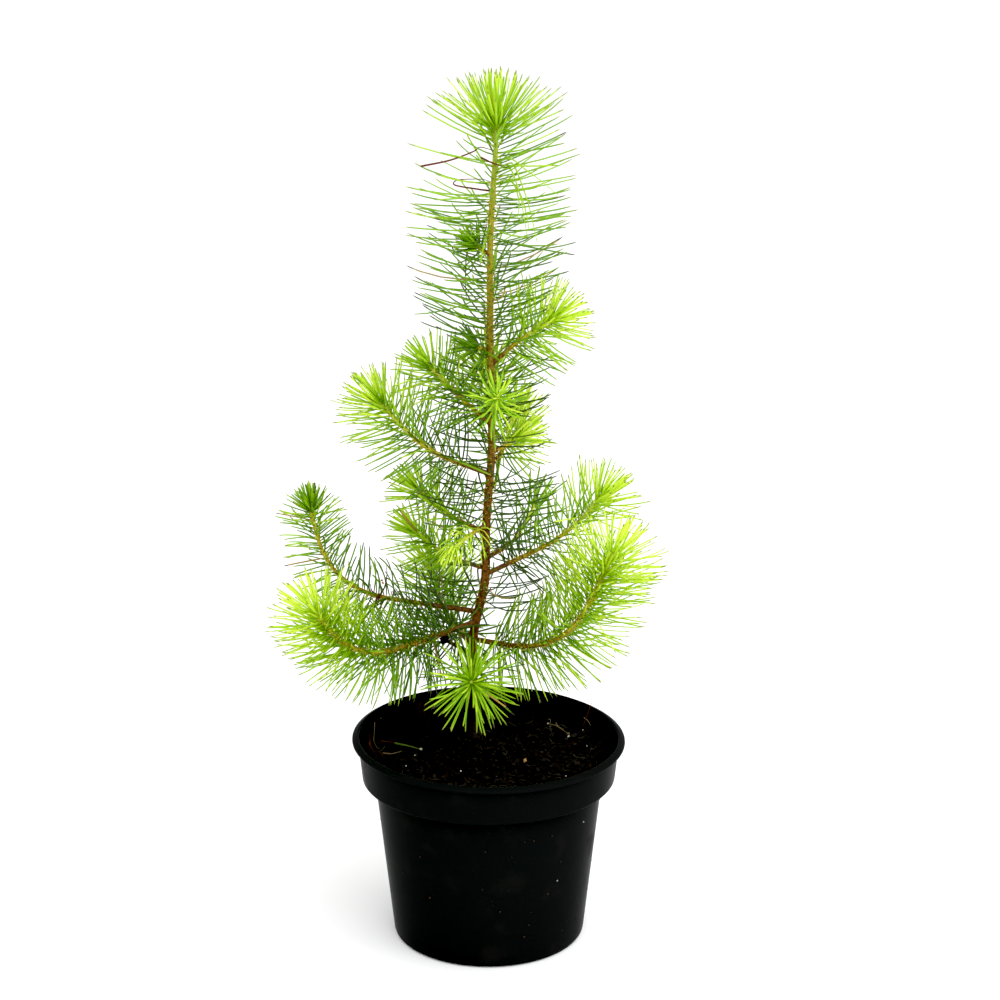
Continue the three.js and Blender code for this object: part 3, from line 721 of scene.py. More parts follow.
def trunk_pitch(height):
    """How far apart the needles follow each other up the trunk, closest in the leader."""
    if height > TRUNK_HEIGHT:
        share = (height - TRUNK_HEIGHT) / LEADER_LENGTH
        return float(np.interp(share, *zip(*LEADER_NEEDLE_PITCHES)))
    top_pitch = LEADER_NEEDLE_PITCHES[0][1]
    return (mix(TRUNK_NEEDLE_PITCH, HIGH_NEEDLE_PITCH, smoothstep(height, *CLOSER_NEEDLES))
            + mix(0, top_pitch - HIGH_NEEDLE_PITCH, smoothstep(height, *WIDER_NEEDLES)))


trunk_places = spiral(TRUNK_FOOT, TRUNK_HEIGHT + LEADER_LENGTH, trunk_pitch)


def make_trunk():
    points, faces = barked_tube(trunk_track, BARK_SIDES, trunk_places, CUSHION_RISE,
                                CUSHION_WIDTH, TRUNK_ROUGHNESS)
    return mesh_piece("trunk_bark", points, faces, [trunk_bark()], smooth_up_to=60)


settle(make_trunk(), "bark", "trunk")


# Boughs. Each is one tapering limb out of the trunk. Below its needles it is bare and brown like
# the trunk, and it ripens from ochre to green towards its growing tip. The solids end where the
# needles begin; here the same limb runs on through them to its tip.
BOUGH_TIP_SHARE = 0.6
BEND_SPREAD = 0.3
LINE_PIECES = 60
# A row gives the height on the trunk, the compass heading, the length, the slopes at foot and
# tip, the length of the needles, and by name what differs from the usual.
USUAL_BOUGH = dict(radius=0.0011, bare=0.009, turn=0, bend=0.5, split=0, age=0, fade=0.058,
                   sparse=1, tuft_sparse=1, hang=0, wide=1, tip_needle=0, tuft_needle=0,
                   tuft_age=0, tuft_hang=1)
Bough = namedtuple("Bough", ["at", "heading", "length", "rise", "lift", "needle", *USUAL_BOUGH],
                   defaults=USUAL_BOUGH.values())
BOUGHS = {
    "left_bud": Bough(0.238, 168, 0.011, 28, 40, 0.013, radius=0.001, bare=0, age=0.5),
    "left_fan": Bough(0.193, 182, 0.009, 12, 18, 0.017, radius=0.001, bare=0, age=0.55),
    "right_upper": Bough(0.186, -8, 0.038, 43, 33, 0.027),
    "front_upper": Bough(
        0.161, -85, 0.04, 27, 30, 0.021, tip_needle=0.0135, fade=0.05, age=0.22, sparse=1.8,
        tuft_sparse=1.9, wide=0.76),
    "left_upper": Bough(0.157, 178, 0.042, 42, 47, 0.023, age=0.2, tuft_sparse=1.3),
    "back_upper": Bough(0.155, 92, 0.042, 30, 44, 0.024),
    "right_back_upper": Bough(0.144, 36, 0.018, 12, 24, 0.021),
    "back_middle": Bough(0.137, 74, 0.046, 6, 34, 0.024, bare=0.01, sparse=2),
    "left_middle": Bough(
        0.133, 182, 0.065, 21, 48, 0.027, radius=0.0012, bare=0.013, split=0.5, age=0.08,
        tuft_sparse=0.85),
    "front_left": Bough(
        0.108, -118, 0.032, -4, -12, 0.0145, radius=0.001, bare=0.008, turn=-6, hang=1.4,
        sparse=2.3, fade=0.3, age=0.1, tuft_sparse=3, wide=0.76),
    "back_left_upper": Bough(
        0.104, 150, 0.042, 13, 32, 0.023, age=0.16, sparse=1.15, tuft_sparse=1.4),
    "back_right": Bough(
        0.091, 62, 0.056, 0, 34, 0.024, radius=0.0012, bare=0.012, split=0.5, bend=0.55,
        sparse=3.3, age=0.45, fade=0.08, tuft_sparse=2),
    "back_left_lower": Bough(
        0.086, 160, 0.041, 10, 36, 0.022, age=0.2, sparse=1.15, tuft_sparse=1.5),
    "right_middle": Bough(
        0.083, 5, 0.068, 25, 48, 0.027, radius=0.0012, bare=0.013, split=0.52, bend=0.62,
        fade=0.055, sparse=1.25),
    "left_long": Bough(
        0.064, 172, 0.109, 6, 80, 0.026, radius=0.00125, bare=0.02, split=0.55, bend=0.64,
        age=0.34, fade=0.1, sparse=1.2, hang=0.35, tip_needle=0.017, tuft_needle=0.0162,
        tuft_age=0.52, tuft_hang=0, tuft_sparse=0.65),
    "left_low": Bough(
        0.059, 214, 0.097, -8, 56, 0.0275, radius=0.00125, bare=0.015, split=0.5, turn=-8,
        bend=0.66, fade=0.085, sparse=0.54, tuft_sparse=1.6),
    "right_low": Bough(
        0.05, -22, 0.096, -3, 65, 0.0295, radius=0.00125, bare=0.014, split=0.46, turn=22,
        bend=0.44, fade=0.15, sparse=0.56, tuft_sparse=1.9),
    "back_left_low": Bough(
        0.047, 112, 0.066, 2, 50, 0.023, radius=0.0012, bare=0.014, split=0.5, bend=0.55),
    "front_low": Bough(
        0.04, -90, 0.05, -4, 24, 0.0262, radius=0.00115, bare=0.01, bend=0.6, age=0.34, fade=0.06,
        sparse=1.3, tuft_sparse=0.9, wide=0.76),
}
BOUGH_SIDES = 12
BOUGH_CUSHION_RISE = 0.00012
BOUGH_CUSHION_WIDTH = 0.6
BOUGH_ROUGHNESS = 0.00006
BOUGH_NEEDLE_PITCH = 0.0004
TIP_NEEDLE_PITCH = 0.00027
TUFT_NEEDLE_PITCH = 0.00012
CLOSING_UP = (0.01, 0.04)
TUFT_LENGTH = 0.005
TUFT_SHARE = 0.45
FOOT_SWELLING = 0.9
FOOT_SWELLING_LENGTH = 0.003


def bough_line(bough):
    """A bough's centre line, by the distance along it from the middle of the trunk."""
    places = [trunk_line(bough.at)]
    for i in range(LINE_PIECES):
        share = (i + 0.5) / LINE_PIECES
        bent = smoothstep(share, bough.bend - BEND_SPREAD, bough.bend + BEND_SPREAD)
        slope = radians(mix(bough.rise, bough.lift, bent))
        compass = radians(bough.heading + bough.turn * share)
        ahead = polar(cos(slope), compass, sin(slope))
        places.append(places[i] + ahead * bough.length / LINE_PIECES)

    def line(distance):
        place = distance / bough.length * LINE_PIECES
        low = min(LINE_PIECES - 1, int(place))
        return places[low].lerp(places[low + 1], place - low)

    return line


def bough_track(bough):
    def radius_at(distance):
        swelling = FOOT_SWELLING * max(0, 1 - distance / FOOT_SWELLING_LENGTH - 0.5)
        return bough.radius * (mix(1, BOUGH_TIP_SHARE, distance / bough.length) + swelling)

    return Track(bough_line(bough), 0, bough.length, radius_at)


def bark_tone(name, light, dark, roughness=0.75):
    """Young bark of one ripeness, speckled with its own darker tone."""
    material, tree, shader = new_material(name, light, roughness, 0.3)
    scales = mottled(tree, light, dark, Scale=900, Detail=5, Start=0.34, End=0.74)
    give(tree, shader, Base_Color=scales["Colour"],
         Normal=grained(tree, Scale=1700, Depth=0.0002, Strength=0.7))
    return material


def tuft_length(bough):
    return min(TUFT_LENGTH, bough.length * TUFT_SHARE)


def bough_places(bough):
    """The spiral of a bough's cushions and needles, closer together towards the tip."""
    def pitch_at(distance):
        to_tip = bough.length - distance
        if to_tip < tuft_length(bough):
            return TUFT_NEEDLE_PITCH * bough.tuft_sparse
        old = smoothstep(to_tip, *CLOSING_UP)
        return mix(TIP_NEEDLE_PITCH, BOUGH_NEEDLE_PITCH, old) * bough.sparse

    return spiral(0, bough.length, pitch_at)


bough_tracks = {name: bough_track(bough) for name, bough in BOUGHS.items()}


def make_boughs():
    """All the limbs as one piece. Along each, faces change from brown bark to green stem."""
    draw, heap = random.Random(21), Heap()
    for name, track in bough_tracks.items():
        points, faces = barked_tube(track, BOUGH_SIDES, bough_places(BOUGHS[name]),
                                    BOUGH_CUSHION_RISE, BOUGH_CUSHION_WIDTH, BOUGH_ROUGHNESS)
        rings = len(points) // BOUGH_SIDES
        tones = []
        for face in faces:
            share = face[0] // BOUGH_SIDES / rings
            ripeness = share * 4 * min(1.4, 0.05 / track.length + 0.35) + draw.uniform(-0.35, 0.35)
            tones.append(min(3, max(0, int(ripeness))))
        heap.add(points, faces, tones)
    return heap.piece("bough_bark", [
        bark_tone("brown_bark", (0.19, 0.085, 0.014), (0.045, 0.018, 0.006)),
        bark_tone("amber_bark", (0.42, 0.29, 0.022), (0.16, 0.09, 0.012)),
        bark_tone("ochre_stem", (0.6, 0.5, 0.035), (0.34, 0.26, 0.02)),
        bark_tone("green_stem", (0.6, 0.7, 0.07), (0.4, 0.5, 0.04), 0.6),
    ], 60)


settle(make_boughs(), "bark", *[node for node in frame["nodes"] if node.startswith("bough_")])


# Dead stub. A small bough that died back low on the trunk: a dry brown stick, with the dark knob
# of its dried bud at the end.
STUB = Bough(0.043, 178, 0.015, 22, 30, needle=0)
STUB_RADIUS = 0.0009
STUB_PITCH = 0.0011
KNOB_RADIUS = 0.0021
KNOB_CRUMBS = 16


def make_dead_stub():
    draw, heap = random.Random(31), Heap()
    track = Track(bough_line(STUB), 0, STUB.length, lambda distance: STUB_RADIUS)
    places = spiral(0, STUB.length, lambda distance: STUB_PITCH)
    heap.add(*barked_tube(track, 9, places, 0.00016, 0.5, 0.00022, 1))
    tip = Vector(track.centres[-1])
    for _ in range(KNOB_CRUMBS):
        lean = Vector([draw.gauss(0, 1) for _ in "xyz"]).normalized()
        heap.add(*crumb(tip + lean * KNOB_RADIUS * 0.45, KNOB_RADIUS * 1.25, draw), 1)
    return heap.piece("dead_twig", [
        bark_tone("dry_twig", (0.06, 0.035, 0.02), (0.02, 0.012, 0.008), 0.9),
        bark_tone("dried_bud", (0.02, 0.011, 0.007), (0.008, 0.005, 0.004), 0.9),
    ], 40)


settle(make_dead_stub(), "dead_wood", "dead_stub")


# Needles. The soft first needles of a pine seedling stand singly, in a spiral round every stem.
# They are thin, keeled blades with a pale foot and a darker point. They close up to a tuft at
# each growing tip, where they are short and fresh, and darken with age towards the trunk.
NEEDLE_HALF_WIDTH = 0.00049
NEEDLE_KEEL_SHARE = 0.74
NEEDLE_STATIONS = (0.0, 0.05, 0.3, 0.55, 0.8, 0.9, 0.95, 1.0)
NEEDLE_WIDTHS = (0.7, 0.9, 1.0, 1.0, 0.95, 0.84, 0.68)
CURVE_SAMPLES = 20
NEEDLE_GAP = 0.0003
NEIGHBOUR_GAP = 0.00002
ROD_RADIUS = NEEDLE_HALF_WIDTH * 0.8
STATIONS_PER_ROD = 8
CLEAR_REACH = (0, -0.03, 0.0105)
ROD_ENDS = [int(share * CURVE_SAMPLES) for share in (0, 0.3, 0.65, 1.0)]
TILT_AT_BASE = 80
TILT_AT_TIP = 54
TRUNK_SPREAD = 7
BOUGH_SPREAD = 11
BOUGH_CURL = 14
TUFT_CURL = 8
OLD_DROOP = 0.3
DROOP_SHARES = (-0.3, 1)
CURL_SHARES = (0.2, 1.7)
WIDTH_SHARES = (0.86, 1.06)
SUNK_FOOT = 0.85
SWAY_SPREAD = 0.22
TURN_SPREAD = 0.15
STRAY_CHANCE = 0.1
STRAY_SPREAD = 4
LENGTH_SPREAD = 0.1
INNER_SHORTENING = 0.3
INNER_SHARE = 0.25
TUFT_TILT_HIGH = 3
TUFT_SHORTENING = 0.32
TRIES = 5
POT_MARGIN = 0.002
NEEDLE_TONES = (
    ("needle_lime", (0.59, 0.78, 0.058)),
    ("needle_yellow_green", (0.42, 0.64, 0.03)),
    ("needle_spring_green", (0.28, 0.51, 0.018)),
    ("needle_leaf_green", (0.175, 0.37, 0.012)),
    ("needle_full_green", (0.105, 0.245, 0.01)),
    ("needle_deep_green", (0.065, 0.15, 0.008)),
    ("needle_shade_green", (0.04, 0.086, 0.007)),
    ("needle_foot", (0.6, 0.6, 0.1)),
    ("fresh_needle_point", (0.26, 0.36, 0.03)),
    ("grown_needle_point", (0.06, 0.055, 0.03)),
    ("needle_straw", (0.4, 0.26, 0.06)),
)
OLDEST_TONE, FOOT_TONE, FRESH_POINT_TONE, GROWN_POINT_TONE, STRAW_TONE = 6, 7, 8, 9, 10
FRESH_TONES = 4
TONES_PER_AGE = 5.4
TONE_SPREAD = 0.75
STRAW_CHANCE = 0.025


class Rods:
    """Straight rods that needles keep clear of. Their marks are a rod's radius, its owner's
    number, and whether it is a limb and whether it is a needle's foot."""

    def __init__(self, most=24000):
        self.ends = np.zeros((2, most, 3))
        self.marks = np.zeros((4, most))
        self.count = 0

    def add(self, low, high, *marks):
        self.ends[:, self.count] = low, high
        self.marks[:, self.count] = marks
        self.count += 1

    def spaces(self, low, high):
        """Each rod's free space to a straight run, before that run's own radius."""
        starts, ends = self.ends[:, :self.count]
        run, rods, apart = high - low, ends - starts, low - starts
        aa = run.dot(run)
        bb = np.einsum("ij,ij->i", rods, rods)
        ab = rods @ run
        bu = np.einsum("ij,ij->i", rods, apart)
        au = apart @ run
        skew = aa * bb - ab * ab
        guess = np.where(skew > 1e-18, (ab * bu - au * bb) / np.maximum(skew, 1e-18), 0)
        t = np.clip((ab * np.clip(guess, 0, 1) + bu) / bb, 0, 1)
        s = np.clip((ab * t - au) / aa, 0, 1)
        gap = (low + s[:, None] * run) - (starts + t[:, None] * rods)
        return np.linalg.norm(gap, axis=1) - self.marks[0, :self.count]

    def leave_way(self, path, owner):
        """True where a needle passes the limbs of others and its neighbours. Needles of one limb
        may touch near their feet."""
        owners, limbs, feet = self.marks[1:, :self.count]
        own, limbs, feet = owners == owner, limbs > 0, feet > 0
        for low, high in zip(ROD_ENDS, ROD_ENDS[1:]):
            spaces = self.spaces(path[low], path[high]) - ROD_RADIUS
            by_limb = limbs & ~own & (spaces < NEEDLE_GAP)
            rooted = own & (feet | (low == 0))
            if by_limb.any() or (~limbs & ~rooted & (spaces < NEIGHBOUR_GAP)).any():
                return False
        return True


rods = Rods()
for limb_number, limb_track in enumerate([trunk_track, *bough_tracks.values()]):
    last_station = len(limb_track.stations) - 1
    rod_ends = [*range(0, last_station, STATIONS_PER_ROD), last_station]
    for foot, head in zip(rod_ends, rod_ends[1:]):
        rods.add(limb_track.centres[foot], limb_track.centres[head], limb_track.radii[foot],
                 limb_number, True, False)

# The photo shows the dead bud free of needles, so the space in front of it is kept open.
dead_bud = np.array(bough_line(STUB)(STUB.length))
rods.add(dead_bud, dead_bud + CLEAR_REACH, KNOB_RADIUS, len(BOUGHS) + 1, True, False)


def clear_of_pot(path):
    """True where a needle stays over the soil and off the pot's wall and lip."""
    for x, y, z in path:
        out = hypot(x, y)
        inside = out < COLLAR_FOOT_RADIUS - POT_WALL - POT_MARGIN
        floor = SOIL_LEVEL if inside else POT_HEIGHT
        if out <= LIP_RADIUS + POT_MARGIN and z < floor + POT_MARGIN:
            return False
    return True


Needle = namedtuple("Needle", "mass owner track distance turn tilt length age curl share hang wide "
                    "spread", defaults=(0, 1.0, TRUNK_SPREAD))
wanted = []


def want_bough_needles():
    """A spiral of needles along each bough, and a tuft at its tip."""
    for owner, (name, bough) in enumerate(BOUGHS.items(), 1):
        length, tuft = bough.length, tuft_length(bough)
        tip_needle = bough.tip_needle or bough.needle
        start = max(bough.bare * 0.8, trunk_radius(bough.at) + 0.0004)
        for distance, turn in bough_places(bough):
            if distance < start:
                continue
            mass = f"needles_{name}"
            if bough.split:
                mass += "_inner" if distance < bough.split * length else "_outer"
            share, to_tip = distance / length, length - distance
            age = mix(bough.age, 1, min(1, to_tip / bough.fade) ** 1.2)
            tilt = mix(TILT_AT_BASE, TILT_AT_TIP, share)
            inner = max(0, 1 - share / INNER_SHARE)
            reach = mix(bough.needle, tip_needle, share) * (1 - INNER_SHORTENING * inner)
            curl, hang = BOUGH_CURL, bough.hang
            if to_tip < tuft:
                part = to_tip / tuft
                tilt = mix(TUFT_TILT_HIGH, TILT_AT_TIP, part ** 0.6)
                reach = bough.tuft_needle or tip_needle
                reach *= mix(1 - TUFT_SHORTENING, 0.95, part ** 1.5)
                age, curl, hang = bough.tuft_age or age, TUFT_CURL, hang * bough.tuft_hang
            wanted.append(Needle(mass, owner, bough_tracks[name], distance, turn, tilt, reach, age,
                                 curl, share, hang, bough.wide, BOUGH_SPREAD))


want_bough_needles()

# The needles of the trunk and its leader. They are the longest, and stand almost level along the
# trunk. Towards the top they rise and close up in the leader's tuft.
TRUNK_NEEDLES_FROM = 0.064
TRUNK_NEEDLE_LENGTHS = ((0.064, 0.03), (0.09, 0.032), (0.12, 0.036), (0.15, 0.03), (0.18, 0.03),
                        (0.199, 0.036), (0.233, 0.038), (0.273, 0.039))
TRUNK_NEEDLE_TILTS = ((0.064, 82), (0.15, 78), (0.2, 71), (0.235, 74), (0.255, 84), (0.266, 82),
                      (0.276, 70))
TRUNK_CURLS = (26, 18)
HIGH_AGE = 0.6
TOP_FRESHNESS = 0.2
LEADER_AGES = (0.5, 0.16)
LEADER_CURL = 10
LEADER_PARTS = (0.0, 0.42, 0.54, 0.77, 0.86, 0.91, 0.96, 1.0)
LEADER_TILTS = (76, 70, 64, 60, 56, 40, 22, 2)
LEADER_LENGTHS = (0.039, 0.0395, 0.039, 0.036, 0.033, 0.029, 0.0255, 0.0242)
COAT_MIDDLES = (0.0745, 0.1205, 0.1735, 0.216, 0.258)
THIN_PATCH = (0.267, 0.289)
THIN_PATCH_EDGE = -0.4
THIN_PATCH_KEEPS = 3


def want_trunk_needles():
    for i, (height, turn) in enumerate(trunk_places):
        # The left side under the leader has lost most of its needles.
        thin = THIN_PATCH[0] < height < THIN_PATCH[1] and cos(turn) < THIN_PATCH_EDGE
        if height < TRUNK_NEEDLES_FROM or (thin and i % THIN_PATCH_KEEPS):
            continue
        if height < TRUNK_HEIGHT:
            coat = min(range(5), key=lambda k: abs(height - COAT_MIDDLES[k]))
            mass = f"needles_trunk_{coat + 1}"
            share = height / TRUNK_HEIGHT
            tilt = np.interp(height, *zip(*TRUNK_NEEDLE_TILTS))
            reach = np.interp(height, *zip(*TRUNK_NEEDLE_LENGTHS))
            age = mix(1, HIGH_AGE, smoothstep(height, 0.13, 0.24))
            age -= TOP_FRESHNESS * smoothstep(height, 0.25, TRUNK_HEIGHT)
            curl = mix(*TRUNK_CURLS, share)
        else:
            mass = "needles_leader"
            part = (height - TRUNK_HEIGHT) / LEADER_LENGTH
            share = 1 + part
            tilt = np.interp(part, LEADER_PARTS, LEADER_TILTS)
            reach = np.interp(part, LEADER_PARTS, LEADER_LENGTHS)
            age, curl = mix(*LEADER_AGES, part), LEADER_CURL
        wanted.append(Needle(mass, 0, trunk_track, height, turn, tilt, reach, age, curl, share))


want_trunk_needles()


def needle_path(needle, attempt, draw):
    """A try at a needle's centre line, and its sideways direction. Later tries stray further."""
    spread = needle.spread * (1 + 0.5 * attempt)
    if draw.random() < STRAY_CHANCE:
        spread *= STRAY_SPREAD
    tilt = needle.tilt + draw.gauss(0, 0.5) * spread
    turn = needle.turn + draw.gauss(0, TURN_SPREAD) * (1 + 0.5 * attempt)
    curl = needle.curl * draw.uniform(*CURL_SHARES)
    sway = draw.gauss(0, SWAY_SPREAD)
    length = needle.length * (1 + LENGTH_SPREAD * (draw.random() * 1.6 - 1))
    droop = needle.hang
    if needle.owner:
        droop += draw.uniform(*DROOP_SHARES) * OLD_DROOP * needle.age
    track = needle.track
    i = track.at(needle.distance)
    along, out = track.along[i], track.out(i, turn)
    across = np.cross(along, out)
    root = track.centres[i] + out * track.radii[i] * SUNK_FOOT
    shares = (np.arange(CURVE_SAMPLES) + 0.5) / CURVE_SAMPLES
    lean = np.radians(tilt + curl * (0.5 - shares))
    ahead = (np.cos(lean)[:, None] * along + np.sin(lean)[:, None] * out
             + (sway * (shares - 0.4))[:, None] * across
             + (droop * shares)[:, None] * np.array((0, 0, -1.0)))
    ahead /= np.linalg.norm(ahead, axis=1, keepdims=True)
    return np.vstack([root, root + np.cumsum(ahead, axis=0) * length / CURVE_SAMPLES]), across


def needle_mesh(heap, path, across, blade, wide):
    """A keeled blade: four-cornered sections along the needle's line, drawn to a point."""
    picks = [round(share * CURVE_SAMPLES) for share in NEEDLE_STATIONS]
    points = []
    for pick, width in zip(picks, NEEDLE_WIDTHS):
        ahead = path[min(pick + 1, CURVE_SAMPLES)] - path[max(pick - 1, 0)]
        ahead /= np.linalg.norm(ahead)
        side = across - ahead * across.dot(ahead)
        side /= np.linalg.norm(side)
        half = NEEDLE_HALF_WIDTH * width * wide
        keel = np.cross(ahead, side) * half * NEEDLE_KEEL_SHARE
        points += [path[pick] + side * half, path[pick] + keel,
                   path[pick] - side * half, path[pick] - keel]
    last = len(points)
    points.append(path[-1])
    # Fresh needles get a band one tone darker just above the pale foot: painted shade in the cores
    # of the tufts.
    deep, point = blade, GROWN_POINT_TONE
    if blade < FRESH_TONES:
        deep, point = blade + 1, FRESH_POINT_TONE
    faces = [(3, 2, 1, 0)] + bands(len(NEEDLE_WIDTHS), 4)
    faces += [(last - 4 + j, last - 4 + (j + 1) % 4, last) for j in range(4)]
    tones = [FOOT_TONE] * 5 + [deep] * 4 + [blade] * 12 + [point] * 8
    heap.add(points, faces, tones)


def needle_skin(name, colour):
    """The waxy skin of a needle: one plain colour, with a faint unevenness in its gloss."""
    material, tree, shader = new_material(name, colour, 0.5, 0.22)
    wax = mottled(tree, colour, colour, Scale=1100, Detail=2, Start=0.25, End=0.75)
    gloss = new_node(tree, "MapRange", Value=wax["Mask"], To_Min=0.42, To_Max=0.62)
    give(tree, shader, Roughness=gloss["Result"])
    return material


def make_needles():
    """Grows the wanted needles from the tips inwards, as two pieces: the fresh ones of the tips
    and the full-grown ones. One that finds no free way in a few tries is left out."""
    draw = random.Random(41)
    slots = {part["node"]: part["material_slot"] for part in frame["record"]["subparts"]}
    heaps = {"needles_fresh": Heap(), "needles_grown": Heap()}
    for needle in sorted(wanted, key=lambda needle: -needle.share):
        for attempt in range(TRIES):
            path, across = needle_path(needle, attempt, draw)
            if clear_of_pot(path[4:]) and rods.leave_way(path, needle.owner):
                break
        else:
            continue
        for low, high in zip(ROD_ENDS, ROD_ENDS[1:]):
            rods.add(path[low], path[high], ROD_RADIUS, needle.owner, False, low == 0)
        tone = round(needle.age * TONES_PER_AGE + draw.gauss(0, TONE_SPREAD))
        tone = min(OLDEST_TONE, max(0, tone))
        if draw.random() < STRAW_CHANCE * needle.age ** 2:
            tone = STRAW_TONE
        wide = needle.wide * draw.uniform(*WIDTH_SHARES)
        needle_mesh(heaps[slots[needle.mass]], path, across, tone, wide)
    skins = [needle_skin(*tone) for tone in NEEDLE_TONES]
    for slot, heap in heaps.items():
        nodes = [node for node in frame["nodes"] if slots.get(node) == slot]
        settle(heap.piece(slot, skins, 80), slot, *nodes)


make_needles()


# Loose dry bits. Old needles and a shrivelled twiglet caught in the crown where they fell, and one
# green needle that lies on the soil. A row has a bit's tone and its corners in millimetres.
DRY_RADII = (0.00044, 0.00042, 0.00038, 0.0003, 0.00026)
DRY_BITS = (
    (0, (-30.2, 10, 369.4), (-17.1, 13, 371.7), (-6.7, 17, 375), (-3.6, 19, 376.7),
     (2.6, 20.7, 374.9)),
    (0, (1.4, 20.7, 356.5), (-5, 18, 357.8), (-15, 14.5, 360.2), (-13.6, 14.5, 362.5),
     (-3.2, 18, 362.3), (1.4, 20.8, 360.6)),
    (0, (-3.3, 18, 372.2), (2.8, 18.8, 369.2), (8.6, 18, 367.7)),
    (0, (-53.1, 31.5, 159.7), (-53.6, 28.5, 158.2), (-56.3, 28, 152.5), (-56.9, 27.5, 148.9)),
    (0, (-52.8, 31.5, 159.2), (-53.1, 28.5, 157.2), (-54.2, 27.5, 153.2)),
    (0, (-53.5, 31.5, 159.2), (-54.5, 28, 156.6), (-55.1, 27.5, 152.5)),
    (0, (-53.1, 32.5, 158.5), (-56.1, 30, 161.6), (-56.9, 29, 165.5)),
    (0, (-51.5, 31.5, 157.5), (-52.2, 28.5, 153), (-53.1, 28, 150.2), (-59.5, 27.5, 147.2)),
    (0, (-53.1, 32.5, 158.1), (-50.2, 30, 163.2), (-48.8, 29, 170.1), (-49.1, 28.5, 174.8)),
    (1, (3.6, 20.9, 365.5), (8.5, 16, 369.5), (11.7, 12, 369.4), (16, 10.5, 359), (19, 10, 349.6),
     (22.2, 10, 335)),
    (1, (3.5, 20.9, 364), (8.3, 16, 367.5), (10.8, 12, 366.8), (13.6, 10.5, 359.2),
     (15.4, 10, 351.6), (17.7, 10, 337.8)),
    (1, (3.8, 20.7, 369.5), (10.2, 14, 372.2), (16.4, 10.5, 368.2), (23.4, 10, 363.2),
     (31.6, 10, 356.4)),
    (1, (3.2, 20.8, 361.5), (8.3, 15, 364.5), (12.2, 12, 359.8), (14.1, 10.8, 352.1),
     (13.2, 10.5, 346.3)),
    (1, (3.2, 20.8, 359.5), (9.2, 15, 362.5), (14.2, 11.5, 357.3), (17.3, 10.8, 348),
     (18.5, 10.5, 340.5)),
    (2, (-45.2, 12.1, 90.4), (-37.8, 7, 90.8), (-33.4, 4.4, 90.5)),
    (2, (-7.8, 23.8, 333.5), (-9.8, 23.5, 327.2), (-10.6, 23, 316.5), (-10.1, 23, 305.5)),
    (2, (-10.4, 23, 318.5), (-13, 21.5, 321.5), (-14.3, 21, 325.5)),
    (2, (-10.4, 23, 317), (-7.8, 21.5, 319.6), (-6.6, 21, 323.4)),
    (3, (-57.7, 7.9, 92.5), (-56.3, 5.9, 90.5), (-54.8, 0.9, 90.5), (-51.9, -0.4, 90.6),
     (-49.7, -6.7, 90.5)),
    (3, (-57.2, 11.7, 93.2), (-57.2, 5.7, 89.9), (-52.6, -5.4, 90.4)),
    (3, (-57.4, 9.2, 96.1), (-56.8, 9.9, 91.8), (-56.1, 4.4, 90.3)),
    (3, (-33.7, 47.8, 97.8), (-34.7, 47.1, 95), (-33.9, 45.5, 90.5)),
    (3, (-30.8, 48.7, 96.6), (-32.3, 47.3, 94.3), (-31.8, 45.5, 90.5)),
    (3, (46.2, 34.5, 90.5), (48.7, 33.5, 98.5), (50.3, 33.7, 103.1)),
    (3, (-52.1, 14.7, 90.4), (-48.6, 13.4, 90.6), (-45.2, 12.1, 90.4)),
    (4, (-55.1, 16.7, 99.3), (-55.3, 15.9, 94.4), (-55.5, 14.8, 90.5), (-53.6, 6.7, 90.3),
     (-52.1, 4.2, 90.5)),
    (4, (-50.4, -0.9, 90.5), (-46.1, -2.1, 90.7), (-41.4, 1.7, 90.5)),
    (4, (30.1, 36.2, 90.6), (32.9, 32.2, 91.4), (38.5, 23.6, 90.7)),
    (4, (29.1, 43.7, 90.5), (30.3, 40.1, 91.4), (29.7, 35.5, 90.6)),
    (4, (32.9, 38.3, 90.5), (33.9, 32.2, 91.1), (36.6, 29.7, 90.6)),
    (4, (46.5, 35.1, 94.5), (48.5, 32.3, 93.8), (49.7, 29.5, 92.5)),
)
DRY_LUMPS = (
    (5, (-4.6, 19.4, 194.6), 1.8), (5, (-3.4, 20.6, 195.7), 1.6), (5, (-3.7, 20.3, 193.6), 1.4),
    (6, (2.1, 21.2, 348.7), 1.1), (6, (1.9, 21.3, 347.6), 0.9), (0, (-53.1, 29.8, 158.6), 2),
    (0, (-53.8, 28.5, 156.6), 1.7), (0, (-54.6, 28.2, 154.9), 1.3),
    (7, (-51.2, 29.5, 167.2), 1.3), (7, (-50.8, 29.5, 165.8), 1.1), (6, (-32.5, 3.9, 90.6), 1.2),
    (7, (17.2, -10.2, 90.5), 1.7), (4, (-52.6, 26.8, 97.3), 0.9), (4, (38.5, 23.6, 90.8), 1.2),
)


def smooth_line(corners, steps=6):
    """A smooth line through some corners."""
    ends = [corners[0] * 2 - corners[1]] + corners + [corners[-1] * 2 - corners[-2]]
    line = []
    for before, low, high, after in zip(ends, ends[1:], ends[2:], ends[3:]):
        for step in range(steps):
            t = step / steps
            turn = (high - before) * t + (before * 2 - low * 5 + high * 4 - after) * t * t
            line.append((low * 2 + turn + (low * 3 - before - high * 3 + after) * t ** 3) / 2)
    return line + [corners[-1]]


